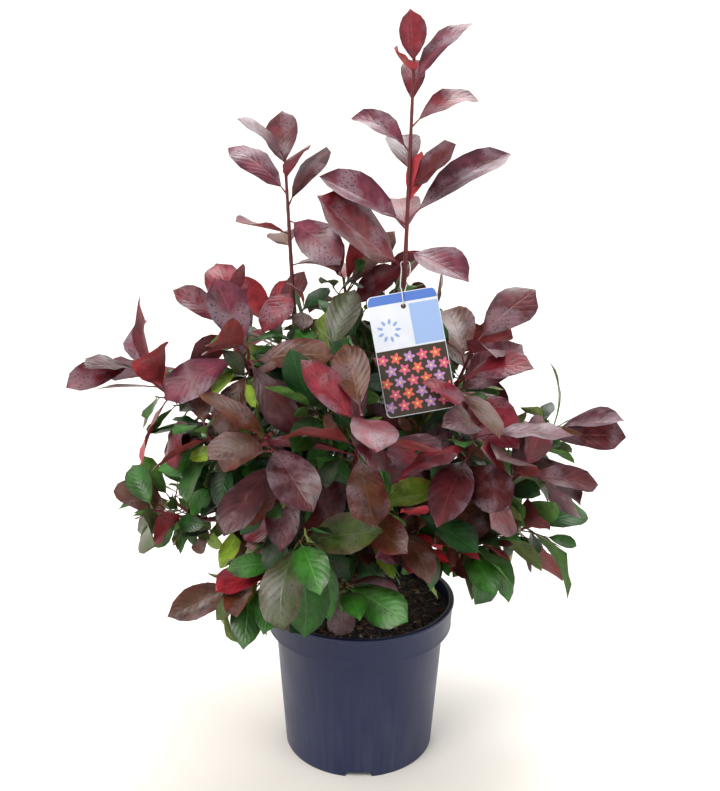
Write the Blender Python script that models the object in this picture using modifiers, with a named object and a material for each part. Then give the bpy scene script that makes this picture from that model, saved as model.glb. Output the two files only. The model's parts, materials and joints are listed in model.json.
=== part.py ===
"""A young photinia shrub in its nursery pot, with a hanging plant label.

Metres, +Z up. The origin is the middle of the pot's flat underside, and the
label's side of the plant faces -Y. Limbs and leafy shoots grow by a seeded
rule from the table of shoots below; each piece keeps clear of every other.
"""
import math
import random
from typing import NamedTuple

import bmesh
import bpy
import numpy as np
from mathutils import Matrix, Vector
from mathutils.bvhtree import BVHTree

# Pot
POT_HEIGHT = 0.207
RIM_RADIUS = 0.124
COLLAR_HEIGHT = 0.036
WALL_TOP_RADIUS = 0.1107
BASE_RADIUS = 0.0987
WALL = 0.002
COLLAR_INNER_RADIUS = 0.1175
COLLAR_DRAFT = 0.0040      # how far its foot sits in from the rim
LIP_ROUND = 0.0015
LIP_HEIGHT = 0.006
INNER_STEP_FOOT, INNER_STEP_TOP = 0.002, 0.008  # above the collar's foot
FOOT_ROUND = 0.0025
BASE_THICKNESS = 0.009
NOTCH_WIDTH, NOTCH_HEIGHT, NOTCH_DEPTH = 0.034, 0.007, 0.010
TURNED_STEPS = 40

# Potting mix
SOIL_TOP = 0.194
SOIL_FLAT_RADIUS = 0.035
SOIL_SHOULDER_RADIUS, SOIL_SHOULDER_DROP = 0.080, 0.001
SOIL_EDGE_DROP = 0.003
GAP = 0.0003

# Stem and boughs
STEM_LINE = ((0, 0, SOIL_TOP + GAP), (0, 0, 0.225), (0.004, -0.001, 0.262), (0.006, 0.001, 0.300))
STEM_RADII = (0.0135, 0.0098, 0.0088, 0.0078)
MAIN_BOUGH_RADII = (0.0056, 0.0031)
SIDE_BOUGH_RADII = (0.0040, 0.0026)
SIDE_BOUGH_SHARE = 0.76
BOUGH_POINTS = 6
LEAVING_PULL, ARRIVING_PULL = 0.34, 0.32  # of a bough's reach, where its bend is drawn from
END_RUN = 0.005            # a limb's straight end, square to what goes on from it
TUBE_RESOLUTION = 1

# Shoots and leaves
SHOOT_RADII = (0.0028, 0.0017)
TWIG_RADII = (0.0022, 0.0016)
GOLDEN_ANGLE = math.radians(137.5)
PETIOLE = 0.13
LEAF_STATIONS = (0.0, 0.46, 0.78, 1.0)
BLADE_STATIONS = (0.24, 0.46, 0.78, 1.0)
BLADE_FULLNESS, BLADE_RISE, BLADE_FALL = 0.98, 0.75, 0.62
CURL_START, LEAST_CURL = 0.08, 0.15
KEEL_SHARE = 0.62          # of the thickness lies under the blade's edges
LEAF_ROOT_WIDTH = 0.0016
LEAF_THICKNESS = 0.022
CLEARANCE = 0.0012
OWN_CLEARANCE = 0.0006
TRIES = 6
PLACE_SLOTS, TRY_SLOTS = 100, 10
TWIG_SHARE = 0.75
FIRST_TWIG, TWIG_STEP = 0.22, 0.24
TWIG_SHARE_OF_STEM, TWIG_LEAST, TWIG_SAG = 0.62, 0.012, 0.07
LOWEST_ON_STEM, LOWEST_ON_LEAD, LOWEST_ON_TWIG, HIGHEST = 0.12, 0.5, 0.35, 0.985
# A leaf opens from its stem by this many degrees, less toward the tip, give or take half the spread.
OPENING, OPENING_LOSS, OPENING_SPREAD = 80, 44, 44
TURN_SPREAD, ROLL_SPREAD, TWIST_SPREAD = 1.5, 1.7, 1.0
DROOP = 0.5
CROWDING = 0.75            # leaves stand closer toward the tip
SHORTEST, LENGTH_SPREAD = 0.80, 0.36
NARROWEST, WIDTH_SPREAD = 0.40, 0.10

# Label
LABEL_WIDTH, LABEL_HEIGHT, LABEL_THICKNESS = 0.081, 0.140, 0.0010
LABEL_CORNER = 0.006
LABEL_HOLE_RADIUS, LABEL_HOLE_DROP = 0.0030, 0.0165
LABEL_MIDDLE = (0.0563, -0.0890, 0.5525)
LABEL_LEAN, LABEL_TILT = math.radians(-19.0), math.radians(-10.5)
TIE_RADIUS = 0.0006
TIE_HEIGHT = 0.645
TIE_POINTS = 30

UP = np.array((0.0, 0.0, 1.0))


class Shoot(NamedTuple):
    """A leafy shoot and the bough that carries it."""
    name: str
    parent: str        # the limb that its bough leaves
    joins: float       # how far along that limb
    foot: tuple
    tip: tuple
    sag: float         # how far the stem hangs below straight, by its length
    twig_turns: tuple  # degrees round the stem to each side twig
    leaves: int
    leaf_length: float
    hue: str
    seeds: tuple       # one for each flush of leaves


SHOOTS = (
    Shoot("right_leader", "main_stem", 1, (0.050, 0.000, 0.600), (0.056, -0.010, 0.880), 0.01,
          (), 0, 0.112, "red", ()),
    Shoot("left_leader", "main_stem", 0.74, (-0.085, 0.020, 0.585), (-0.093, 0.010, 0.765), 0.00,
          (), 10, 0.092, "red", (1882, 3463, 330, 2901)),
    Shoot("upper_left", "bough_left_leader", 0.50, (-0.123, -0.050, 0.505), (-0.158, -0.070, 0.590), 0.10,
          (225,), 12, 0.092, "red", (1962, 894, 2536, 1470)),
    Shoot("far_left", "main_stem", 0.44, (-0.185, -0.030, 0.455), (-0.270, -0.050, 0.525), 0.05,
          (), 12, 0.100, "red", (2391, 3655, 2012, 3980)),
    Shoot("upper_right", "bough_right_leader", 0.38, (0.092, -0.020, 0.455), (0.134, -0.030, 0.550), 0.08,
          (180,), 13, 0.105, "red", (976, 2065, 662, 2714)),
    Shoot("right_far", "main_stem", 0.62, (0.180, -0.010, 0.390), (0.248, 0.000, 0.440), 0.05,
          (), 11, 0.100, "mixed", (3420, 3853, 2181)),
    Shoot("right_mid", "bough_right_far", 0.62, (0.140, -0.055, 0.365), (0.190, -0.090, 0.410), 0.05,
          (), 9, 0.108, "red", (2506, 2300, 592)),
    Shoot("low_left", "bough_far_left", 0.42, (-0.165, -0.060, 0.335), (-0.250, -0.080, 0.355), 0.05,
          (0,), 11, 0.080, "mixed", (3948, 1266, 448)),
    Shoot("right_low_far", "bough_right_far", 0.40, (0.155, 0.010, 0.285), (0.222, 0.000, 0.305), 0.03,
          (), 9, 0.105, "mixed", (2699, 1661, 3294)),
    Shoot("front_centre", "main_stem", 0.56, (-0.010, -0.115, 0.420), (0.000, -0.165, 0.500), 0.08,
          (), 11, 0.105, "red", (2143, 0, 2254)),
    Shoot("front_left", "bough_front_centre", 0.45, (-0.070, -0.115, 0.415), (-0.104, -0.163, 0.472), 0.08,
          (), 10, 0.100, "red", (601, 557, 2193)),
    Shoot("right_inner", "bough_right_far", 0.50, (0.112, -0.085, 0.395), (0.132, -0.125, 0.480), 0.06,
          (), 9, 0.110, "red", (1509, 687, 3494)),
    Shoot("left_front", "main_stem", 0.30, (-0.075, -0.095, 0.335), (-0.102, -0.155, 0.415), 0.10,
          (225,), 13, 0.092, "mixed", (1555, 482, 2821)),
    Shoot("centre_low", "bough_front_centre", 0.22, (-0.005, -0.095, 0.318), (0.006, -0.160, 0.405), 0.10,
          (315,), 13, 0.090, "mixed", (2098, 2760, 797)),
    Shoot("left_mid", "bough_far_left", 0.66, (-0.147, -0.065, 0.413), (-0.180, -0.100, 0.460), 0.06,
          (), 10, 0.082, "mixed", (2421, 2413, 3538)),
    Shoot("centre_green", "bough_left_leader", 0.30, (-0.020, -0.050, 0.430), (-0.040, -0.075, 0.545), 0.03,
          (180,), 14, 0.085, "green", (197, 829, 2373)),
    Shoot("centre_top", "bough_right_leader", 0.70, (-0.012, 0.030, 0.545), (-0.024, 0.035, 0.620), 0.04,
          (), 10, 0.085, "mixed", (1677, 3626, 2646)),
    Shoot("right_green", "bough_right_far", 0.22, (0.075, -0.045, 0.375), (0.098, -0.070, 0.445), 0.05,
          (90,), 13, 0.072, "green", (250, 1243, 1518)),
    Shoot("low_left_green", "main_stem", 0.22, (-0.085, -0.105, 0.285), (-0.150, -0.160, 0.290), -0.10,
          (270,), 13, 0.080, "low", (1254, 995, 3912, 1314)),
    Shoot("front_low", "main_stem", 0.12, (-0.020, -0.085, 0.270), (-0.018, -0.150, 0.285), -0.04,
          (), 11, 0.092, "low", (1096, 1647, 3860)),
    Shoot("right_low", "main_stem", 0.35, (0.110, -0.050, 0.290), (0.165, -0.075, 0.320), 0.02,
          (135,), 13, 0.080, "low", (2112, 3719, 3891)),
    Shoot("front_right_low", "main_stem", 0.28, (0.045, -0.075, 0.300), (0.066, -0.125, 0.345), 0.05,
          (), 11, 0.080, "low", (2126, 1370, 2517)),
    Shoot("left_green", "bough_left_leader", 0.20, (-0.095, 0.020, 0.395), (-0.150, 0.015, 0.435), 0.05,
          (90,), 13, 0.070, "green", (3473, 651)),
    Shoot("back_top", "bough_right_leader", 0.50, (0.035, 0.065, 0.490), (0.045, 0.105, 0.585), 0.05,
          (270,), 13, 0.090, "mixed", (868,)),
    Shoot("back_left_high", "bough_left_leader", 0.62, (-0.090, 0.090, 0.480), (-0.125, 0.135, 0.545), 0.05,
          (), 12, 0.088, "mixed", (3302,)),
    Shoot("back_centre", "main_stem", 0.62, (0.000, 0.150, 0.400), (0.000, 0.235, 0.465), 0.06,
          (90,), 13, 0.092, "mixed", (2664,)),
    Shoot("back_right_high", "bough_back_centre", 0.70, (0.095, 0.120, 0.430), (0.135, 0.165, 0.500), 0.05,
          (), 12, 0.092, "mixed", (738,)),
    Shoot("back_left", "bough_back_centre", 0.45, (-0.110, 0.125, 0.350), (-0.195, 0.185, 0.400), 0.05,
          (90,), 13, 0.088, "mixed", (1542,)),
    Shoot("back_right", "bough_back_centre", 0.28, (0.115, 0.125, 0.300), (0.195, 0.180, 0.350), 0.05,
          (135,), 13, 0.088, "low", (3266,)),
    Shoot("back_low", "main_stem", 0.45, (-0.015, 0.110, 0.275), (-0.030, 0.200, 0.300), 0.03,
          (180,), 13, 0.080, "low", (3892,)),
)


class SetLeaf(NamedTuple):
    """A leaf of the tall leader, whose leaves are placed one by one."""
    height: float      # share of the way up the stem
    turn: float        # degrees round it, from +X toward +Y
    rise: float        # degrees above level
    length: float
    breadth: float     # by its length
    curl: float
    roll: float        # degrees about its midrib


LEADER_LEAVES = (
    SetLeaf(0.95, 255, 74, 0.062, 0.50, 0.3, 0),
    SetLeaf(0.93, 240, 30, 0.046, 0.75, 0.2, 0),
    SetLeaf(0.87, 350, 65, 0.106, 0.36, 1.0, -20),
    SetLeaf(0.72, 352, 46, 0.102, 0.34, 1.5, 0),
    SetLeaf(0.62, 200, 51, 0.088, 0.42, 1.4, 0),
    SetLeaf(0.40, 6, 75, 0.066, 0.42, 0.2, 180),
    SetLeaf(0.46, 332, 46, 0.083, 0.60, 0.3, 0),
    SetLeaf(0.34, 0, 45, 0.156, 0.34, 0.8, 0),
    SetLeaf(0.32, 186, 37, 0.120, 0.44, 0.5, 0),
    SetLeaf(0.12, 203, 45, 0.142, 0.70, 0.3, 10),
    SetLeaf(0.21, 322, -6, 0.092, 0.60, 0.6, -10),
    SetLeaf(0.80, 85, 68, 0.070, 0.42, 0.6, 0),
    SetLeaf(0.53, 100, 52, 0.092, 0.44, 0.9, 0),
    SetLeaf(0.27, 95, 42, 0.105, 0.46, 0.8, 0),
)
NUDGES = (0, 7, -7, 14, -14, 21)    # degrees that a set leaf may turn to find room
# These spring from the main stem itself, with no bough between.
STEM_SHOOTS = ("low_left_green", "front_low", "right_low", "front_right_low", "back_low")
MAIN_BOUGHS = ("right_leader", "left_leader", "far_left", "right_far", "front_centre", "back_centre")


def unit(v):
    return v / np.linalg.norm(v)


def square_to(v, direction):
    return unit(v - direction * (v @ direction))


def turned(v, axis, angle):
    along = axis * (axis @ v)
    return along + (v - along) * math.cos(angle) + np.cross(axis, v) * math.sin(angle)


def frames(points):
    """Direction and two cross directions at each point of a line, carried along without twisting."""
    along = np.array([unit(step) for step in np.gradient(points, axis=0)])
    side = square_to(np.array((0.3, 0.9, 0.1)), along[0])
    sides = []
    for direction in along:
        side = square_to(side, direction)
        sides.append(side)
    return along, np.array(sides), np.cross(along, sides)


def arc(foot, tip, sag, count):
    """A line from foot to tip that hangs sag of its length below straight at its middle."""
    foot, tip = np.array(foot, float), np.array(tip, float)
    t = np.linspace(0, 1, count)[:, None]
    return foot + (tip - foot) * t - UP * sag * np.linalg.norm(tip - foot) * 4 * t * (1 - t)


def bezier(a, b, c, d, count):
    t = np.linspace(0, 1, count)[:, None]
    return a * (1 - t) ** 3 + 3 * b * t * (1 - t) ** 2 + 3 * c * t * t * (1 - t) + d * t ** 3


def along_line(points, share):
    """The point and direction at a share of a line."""
    x = share * (len(points) - 1)
    i = min(int(x), len(points) - 2)
    return points[i] + (points[i + 1] - points[i]) * (x - i), unit(points[i + 1] - points[i])


def loft(rings):
    """Corners and faces of a closed skin over rings of three corners; a last ring of one is a point."""
    corners, faces = [], [(2, 1, 0)]
    for ring in rings:
        corners.extend(ring)
    for k in range(len(rings) - 1):
        a, b = 3 * k, 3 * k + 3
        if len(rings[k + 1]) == 1:
            faces += [(a, a + 1, b), (a + 1, a + 2, b), (a + 2, a, b)]
            continue
        for i in range(3):
            j = (i + 1) % 3
            faces += [(a + i, a + j, b + j), (a + i, b + j, b + i)]
    if len(rings[-1]) == 3:
        a = 3 * (len(rings) - 1)
        faces.append((a, a + 1, a + 2))
    return np.array(corners), faces


def three_sided(points, radii, margin=0.0):
    """A twig: a tapering tube of three sides."""
    _, sides, others = frames(points)
    rings = []
    for point, radius, side, other in zip(points, radii, sides, others):
        outs = [side * math.cos(a) + other * math.sin(a) for a in (0, math.tau / 3, 2 * math.tau / 3)]
        rings.append([point + (radius + margin) * out for out in outs])
    return loft(rings)


class Leaf(NamedTuple):
    root: np.ndarray
    heading: np.ndarray
    face: np.ndarray
    length: float
    width: float
    curl: float
    twist: float


def half_width(leaf, share):
    """The blade: widest just past its middle, on a short stalk."""
    u = np.clip((share - PETIOLE) / (1 - PETIOLE), 0, 1)
    return BLADE_FULLNESS * leaf.width * u ** BLADE_RISE * (1 - u) ** BLADE_FALL


def midrib(leaf, shares):
    """Points, blade directions and upper normals along a midrib that curls back from the leaf's face."""
    fine = np.linspace(0, 1, 25)
    bend = leaf.curl * np.clip((fine - CURL_START) / (1 - CURL_START), 0, 1) ** 1.25
    heads = np.cos(bend)[:, None] * leaf.heading - np.sin(bend)[:, None] * leaf.face
    steps = (heads[1:] + heads[:-1]) / 2 * np.diff(fine)[:, None] * leaf.length
    line = leaf.root + np.vstack([np.zeros(3), np.cumsum(steps, axis=0)])
    shares = np.asarray(shares)
    points = np.stack([np.interp(shares, fine, line[:, k]) for k in range(3)], axis=1)
    heads = np.stack([np.interp(shares, fine, heads[:, k]) for k in range(3)], axis=1)
    heads /= np.linalg.norm(heads, axis=1)[:, None]
    across = np.cross(leaf.heading, leaf.face)
    turn = (leaf.twist * shares)[:, None]
    sides = across * np.cos(turn) + np.cross(across, heads) * np.sin(turn)
    return points, sides, np.cross(sides, heads)


def keeled_blade(leaf, margin=0.0, stations=LEAF_STATIONS):
    """A leaf as a thin keeled solid of 16 faces; margin swells it for tests of clearance."""
    points, sides, ups = midrib(leaf, stations)
    keel = LEAF_THICKNESS * leaf.length
    rings = []
    for share, point, side, up in zip(stations[:-1], points, sides, ups):
        width = half_width(leaf, share) + margin
        low, high = KEEL_SHARE * keel + margin, (1 - KEEL_SHARE) * keel + margin
        if share == 0:
            width = low = LEAF_ROOT_WIDTH / 2 + margin
            high = LEAF_ROOT_WIDTH / 3 + margin
        rings.append([point + side * width + up * high, point - up * low, point - side * width + up * high])
    rings.append([points[-1] + np.cross(ups[-1], sides[-1]) * margin])
    return loft(rings)


class Room:
    """What stands already. A new piece is tested against it before it is added."""

    def __init__(self):
        self.pieces = []

    def add(self, owner, skin):
        corners, faces = skin
        tree = BVHTree.FromPolygons([tuple(c) for c in corners], faces)
        self.pieces.append((owner, corners.min(0), corners.max(0), tree))

    def hits(self, skin, owner="", own=False):
        """Whether a skin touches the owner's pieces, or with own False the others' pieces."""
        corners, faces = skin
        low, high = corners.min(0), corners.max(0)
        tree = None
        for name, a, b, other in self.pieces:
            if (name == owner) != own or (low > b).any() or (high < a).any():
                continue
            if tree is None:
                tree = BVHTree.FromPolygons([tuple(c) for c in corners], faces)
            if tree.overlap(other):
                return name
        return ""


def leaf_places(shoot, lines):
    """Where a shoot's leaves stand: the line, the order and count along it, and the flush's seed."""
    weights = [1.0] + [TWIG_SHARE] * (len(lines) - 1)
    left, place = shoot.leaves, 0
    for k, line in enumerate(lines):
        last = k == len(lines) - 1
        count = left if last else round(shoot.leaves * weights[k] / sum(weights))
        left -= count
        for order in range(count):
            yield line, k, order, count, place, shoot.seeds[place * len(shoot.seeds) // shoot.leaves]
            place += 1


def leaf_at(shoot, line, k_line, order, count, spin, chance):
    """One leaf of a shoot: its height goes by its order, its turn, tilt and size by chance."""
    share = order / max(1, count - 1)
    lowest = LOWEST_ON_TWIG if k_line else LOWEST_ON_LEAD if shoot.name in STEM_SHOOTS else LOWEST_ON_STEM
    height = lowest + (HIGHEST - lowest) * share ** CROWDING
    root, _ = along_line(line, height)
    along, sides, others = frames(line)
    k = min(int(height * (len(line) - 1)) + 1, len(line) - 1)
    turn = spin + order * GOLDEN_ANGLE + TURN_SPREAD * (chance.random() - 0.5)
    opening = math.radians(OPENING - OPENING_LOSS * share + OPENING_SPREAD * (chance.random() - 0.5))
    out = sides[k] * math.cos(turn) + others[k] * math.sin(turn)
    heading = along[k] * math.cos(opening) + out * math.sin(opening)
    heading = unit(heading - UP * DROOP * chance.random() * (1 - 0.6 * share))
    face = along[k] * 0.6 + UP * 0.75
    if abs(unit(face) @ heading) > 0.93:
        face = face - out * 0.6
    face = turned(square_to(face, heading), heading, ROLL_SPREAD * (chance.random() - 0.5))
    length = shoot.leaf_length * (0.80 + 0.28 * math.sin(math.pi * (0.12 + 0.72 * share)))
    length *= SHORTEST + LENGTH_SPREAD * chance.random()
    width = length * (NARROWEST + WIDTH_SPREAD * chance.random())
    curl = LEAST_CURL + chance.random()
    return Leaf(root, heading, face, length, width, curl, TWIST_SPREAD * (chance.random() - 0.5))


def set_leaf(row, line, nudge):
    """A set leaf, its face turned up and to the front."""
    root, _ = along_line(line, row.height)
    turn, rise = math.radians(row.turn + nudge), math.radians(row.rise)
    heading = np.array((math.cos(turn) * math.cos(rise), math.sin(turn) * math.cos(rise), math.sin(rise)))
    face = turned(square_to(np.array((0.0, -0.6, 0.8)), heading), heading, math.radians(row.roll))
    return Leaf(root, heading, face, row.length, row.length * row.breadth, row.curl, 0.0)


class Limb(NamedTuple):
    line: np.ndarray
    radii: np.ndarray
    heading: np.ndarray  # at its tip


def stem_of(shoot, limbs):
    """A shoot's stem: from just past its bough's tip, or from inside the main stem."""
    line = arc(shoot.foot, shoot.tip, shoot.sag, 6)
    heading = unit(line[1] - line[0])
    if shoot.name not in STEM_SHOOTS:
        line[0] += heading * GAP
        return line
    start, _ = along_line(limbs[shoot.parent].line, shoot.joins)
    reach = np.linalg.norm(line[0] - start)
    leave = unit(line[0] - start + UP * 0.3 * reach)
    away, home = start + leave * LEAVING_PULL * reach, line[0] - heading * ARRIVING_PULL * reach
    lead = bezier(start, away, home, line[0], 5)
    return np.vstack([lead[:-1], line])


def twigs_of(shoot, line):
    """Side twigs that branch from a shoot's stem."""
    along, sides, others = frames(line)
    length = math.dist(shoot.foot, shoot.tip)
    found = []
    for k, degrees in enumerate(shoot.twig_turns):
        first = LOWEST_ON_LEAD if shoot.name in STEM_SHOOTS else FIRST_TWIG
        start, direction = along_line(line, first + TWIG_STEP * k)
        turn = math.radians(degrees)
        out = square_to(sides[1] * math.cos(turn) + others[1] * math.sin(turn), direction)
        tip = start + unit(direction + out) * (length * TWIG_SHARE_OF_STEM + TWIG_LEAST)
        found.append(arc(start, tip, TWIG_SAG, 5))
    return found


def limb_lines():
    """The main stem, then one bough for each shoot off it."""
    limbs = {"main_stem": Limb(np.array(STEM_LINE), np.array(STEM_RADII), UP)}
    for shoot in SHOOTS:
        if shoot.name in STEM_SHOOTS:
            continue
        parent = limbs[shoot.parent]
        start, along = along_line(parent.line, shoot.joins)
        line = arc(shoot.foot, shoot.tip, shoot.sag, 6)
        foot, heading = line[0], unit(line[1] - line[0])
        reach = np.linalg.norm(foot - start)
        leave = unit(0.6 * along + 0.8 * square_to(foot - start, along))
        if shoot.joins == 1:
            leave = along
        ends = MAIN_BOUGH_RADII
        if shoot.name not in MAIN_BOUGHS:
            thickest = SIDE_BOUGH_SHARE * np.interp(shoot.joins, (0, 1), parent.radii[[0, -1]])
            ends = (min(SIDE_BOUGH_RADII[0], thickest), SIDE_BOUGH_RADII[1])
        away, home = start + leave * LEAVING_PULL * reach, foot - heading * ARRIVING_PULL * reach
        line = bezier(start, away, home, foot, BOUGH_POINTS)
        limbs["bough_" + shoot.name] = Limb(line, np.linspace(*ends, BOUGH_POINTS), heading)
    return limbs


# Objects in Blender

COLOURS = {
    "pot": (0.055, 0.060, 0.085),
    "mix": (0.035, 0.022, 0.015),
    "bark": (0.100, 0.040, 0.035),
    "red": (0.150, 0.025, 0.035),
    "mixed": (0.120, 0.050, 0.030),
    "low": (0.060, 0.090, 0.030),
    "green": (0.040, 0.110, 0.030),
    "card": (0.450, 0.500, 0.650),
    "tie": (0.700, 0.680, 0.650),
}


def paint(body, name, colour, roughness):
    """Gives a body its own material."""
    material = bpy.data.materials.new(name)
    material.use_nodes = True
    shader = material.node_tree.nodes["Principled BSDF"]
    shader.inputs["Base Color"].default_value = (*colour, 1.0)
    shader.inputs["Roughness"].default_value = roughness
    shader.inputs["Metallic"].default_value = 0.0
    body.data.materials.clear()
    body.data.materials.append(material)


def start_scene():
    """Empties the file and makes the collections for the plant, its cutters and its loose pieces."""
    for body in list(bpy.data.objects):
        bpy.data.objects.remove(body, do_unlink=True)
    made = []
    for name in ("potted_photinia", "cutters"):
        collection = bpy.data.collections.new(name)
        bpy.context.scene.collection.children.link(collection)
        made.append(collection)
    return made


def add_object(name, data, collection):
    body = bpy.data.objects.new(name, data)
    collection.objects.link(body)
    return body


def mesh_of(name, corners, faces):
    mesh = bpy.data.meshes.new(name)
    mesh.from_pydata([tuple(c) for c in corners], [], faces)
    mesh.validate()
    return mesh


def turned_body(name, profile, collection):
    """A body turned about Z from a profile that starts and ends on it and runs down its outer side."""
    corners = [(radius, 0.0, height) for radius, height in profile]
    mesh = bpy.data.meshes.new(name)
    edges = [(k, k + 1) for k in range(len(corners) - 1)]
    mesh.from_pydata(corners, edges, [])
    body = add_object(name, mesh, collection)
    screw = body.modifiers.new("turn", "SCREW")
    screw.steps = screw.render_steps = TURNED_STEPS
    screw.use_merge_vertices = True
    screw.merge_threshold = 0.00001
    return body


def cut(body, cutter):
    boolean = body.modifiers.new("cut", "BOOLEAN")
    boolean.operation = "DIFFERENCE"
    boolean.solver = "EXACT"
    boolean.object = cutter
    cutter.hide_render = True
    cutter.display_type = "WIRE"


def curve_body(name, points, radii, collection, closed=False):
    """A tube along a line of points with a radius at each, made a mesh."""
    curve = bpy.data.curves.new(name, "CURVE")
    curve.dimensions = "3D"
    curve.bevel_depth = radii[0]
    curve.bevel_resolution = TUBE_RESOLUTION
    curve.use_fill_caps = not closed
    spline = curve.splines.new("POLY")
    spline.points.add(len(points) - 1)
    spline.use_cyclic_u = closed
    for spot, place, radius in zip(spline.points, points, radii):
        spot.co = (*place, 1.0)
        spot.radius = radius / radii[0]
    return made_mesh(add_object(name, curve, collection), collection)


def made_mesh(body, collection, weld=True):
    """Turns an object into the plain mesh that its curve or modifiers give, its caps welded on."""
    name = body.name
    bpy.context.view_layer.update()
    evaluated = body.evaluated_get(bpy.context.evaluated_depsgraph_get())
    mesh = bpy.data.meshes.new_from_object(evaluated)
    if weld:
        shell = bmesh.new()
        shell.from_mesh(mesh)
        bmesh.ops.remove_doubles(shell, verts=shell.verts, dist=0.00001)
        bmesh.ops.recalc_face_normals(shell, faces=shell.faces)
        shell.to_mesh(mesh)
        shell.free()
    matrix = body.matrix_world.copy()
    bpy.data.objects.remove(body, do_unlink=True)
    solid = add_object(name, mesh, collection)
    solid.matrix_world = matrix
    return solid


def make_pot(parts, cutters):
    """The nursery pot: a tapered wall under a broad collar, with four notches at its foot."""
    collar_foot = POT_HEIGHT - COLLAR_HEIGHT
    profile = [
        (0.0, BASE_THICKNESS),
        (inner_radius(BASE_THICKNESS), BASE_THICKNESS),
        (inner_radius(collar_foot), collar_foot + INNER_STEP_FOOT),
        (COLLAR_INNER_RADIUS, collar_foot + INNER_STEP_TOP),
        (COLLAR_INNER_RADIUS, POT_HEIGHT),
        (RIM_RADIUS - LIP_ROUND, POT_HEIGHT),
        (RIM_RADIUS, POT_HEIGHT - LIP_ROUND),
        (RIM_RADIUS - LIP_ROUND / 2, POT_HEIGHT - LIP_HEIGHT),
        (RIM_RADIUS - COLLAR_DRAFT, collar_foot + LIP_ROUND),
        (RIM_RADIUS - COLLAR_DRAFT - LIP_ROUND, collar_foot),
        (WALL_TOP_RADIUS, collar_foot),
        (BASE_RADIUS + LIP_ROUND / 2, FOOT_ROUND),
        (BASE_RADIUS - LIP_ROUND, 0.0),
        (0.0, 0.0),
    ]
    pot = turned_body("nursery_pot", profile, parts)
    for k in range(4):
        bpy.ops.mesh.primitive_cube_add(size=1)
        notch = bpy.context.object
        notch.name = f"notch_{k + 1}"
        notch.data.transform(Matrix.Diagonal((NOTCH_WIDTH, 2 * NOTCH_DEPTH, 2 * NOTCH_HEIGHT, 1)))
        for collection in list(notch.users_collection):
            collection.objects.unlink(notch)
        cutters.objects.link(notch)
        turn = math.pi / 2 * k
        notch.location = (BASE_RADIUS * math.sin(turn), -BASE_RADIUS * math.cos(turn), 0.0)
        notch.rotation_euler.z = turn
        cut(pot, notch)
    paint(pot, "moulded pot plastic", COLOURS["pot"], 0.45)


def inner_radius(height):
    """The pot wall's inner radius below the collar."""
    slope = (WALL_TOP_RADIUS - BASE_RADIUS) / (POT_HEIGHT - COLLAR_HEIGHT)
    return BASE_RADIUS + slope * height - WALL


def make_mix(parts):
    """The potting mix that fills the pot to just under its rim."""
    foot = BASE_THICKNESS + GAP
    collar_foot = POT_HEIGHT - COLLAR_HEIGHT
    profile = [
        (0.0, SOIL_TOP),
        (SOIL_FLAT_RADIUS, SOIL_TOP),
        (SOIL_SHOULDER_RADIUS, SOIL_TOP - SOIL_SHOULDER_DROP),
        (COLLAR_INNER_RADIUS - 2 * GAP, SOIL_TOP - SOIL_EDGE_DROP),
        (COLLAR_INNER_RADIUS - 2 * GAP, collar_foot + INNER_STEP_TOP + GAP),
        (inner_radius(collar_foot) - 2 * GAP, collar_foot + INNER_STEP_FOOT + GAP),
        (inner_radius(foot) - 2 * GAP, foot),
        (0.0, foot),
    ]
    mix = turned_body("potting_mix", profile, parts)
    paint(mix, "potting mix", COLOURS["mix"], 0.95)


def card_matrix():
    """The label card's place: it hangs from its top and the leaves below push it out."""
    turn = Matrix.Rotation(LABEL_LEAN, 4, "X") @ Matrix.Rotation(LABEL_TILT, 4, "Y")
    return Matrix.Translation(LABEL_MIDDLE) @ turn


def rounded_rectangle(width, height, corner, steps=4):
    points = []
    for k in range(4):
        a = (width / 2 - corner) * (1 if k in (0, 3) else -1)
        b = (height / 2 - corner) * (1 if k < 2 else -1)
        for j in range(steps + 1):
            turn = math.pi / 2 * (k + j / steps)
            points.append((a + corner * math.cos(turn), b + corner * math.sin(turn)))
    return points


def make_label(parts):
    """The plant label: a thin card with rounded corners and a punched hole."""
    curve = bpy.data.curves.new("plant_label", "CURVE")
    curve.dimensions = "2D"
    curve.fill_mode = "BOTH"
    curve.extrude = LABEL_THICKNESS / 2
    hole_height = LABEL_HEIGHT / 2 - LABEL_HOLE_DROP
    turns = [math.tau * k / 12 for k in range(12)]
    rim = [(LABEL_HOLE_RADIUS * math.cos(a), LABEL_HOLE_RADIUS * math.sin(a)) for a in turns]
    hole = [(x, hole_height + y) for x, y in rim]
    for outline in (rounded_rectangle(LABEL_WIDTH, LABEL_HEIGHT, LABEL_CORNER), hole):
        spline = curve.splines.new("POLY")
        spline.points.add(len(outline) - 1)
        spline.use_cyclic_u = True
        for spot, (x, y) in zip(spline.points, outline):
            spot.co = (x, y, 0.0, 1.0)
    card = add_object("plant_label", curve, parts)
    card.matrix_world = card_matrix() @ Matrix.Rotation(math.pi / 2, 4, "X")
    card = made_mesh(card, parts)
    paint(card, "printed card", COLOURS["card"], 0.35)


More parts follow.
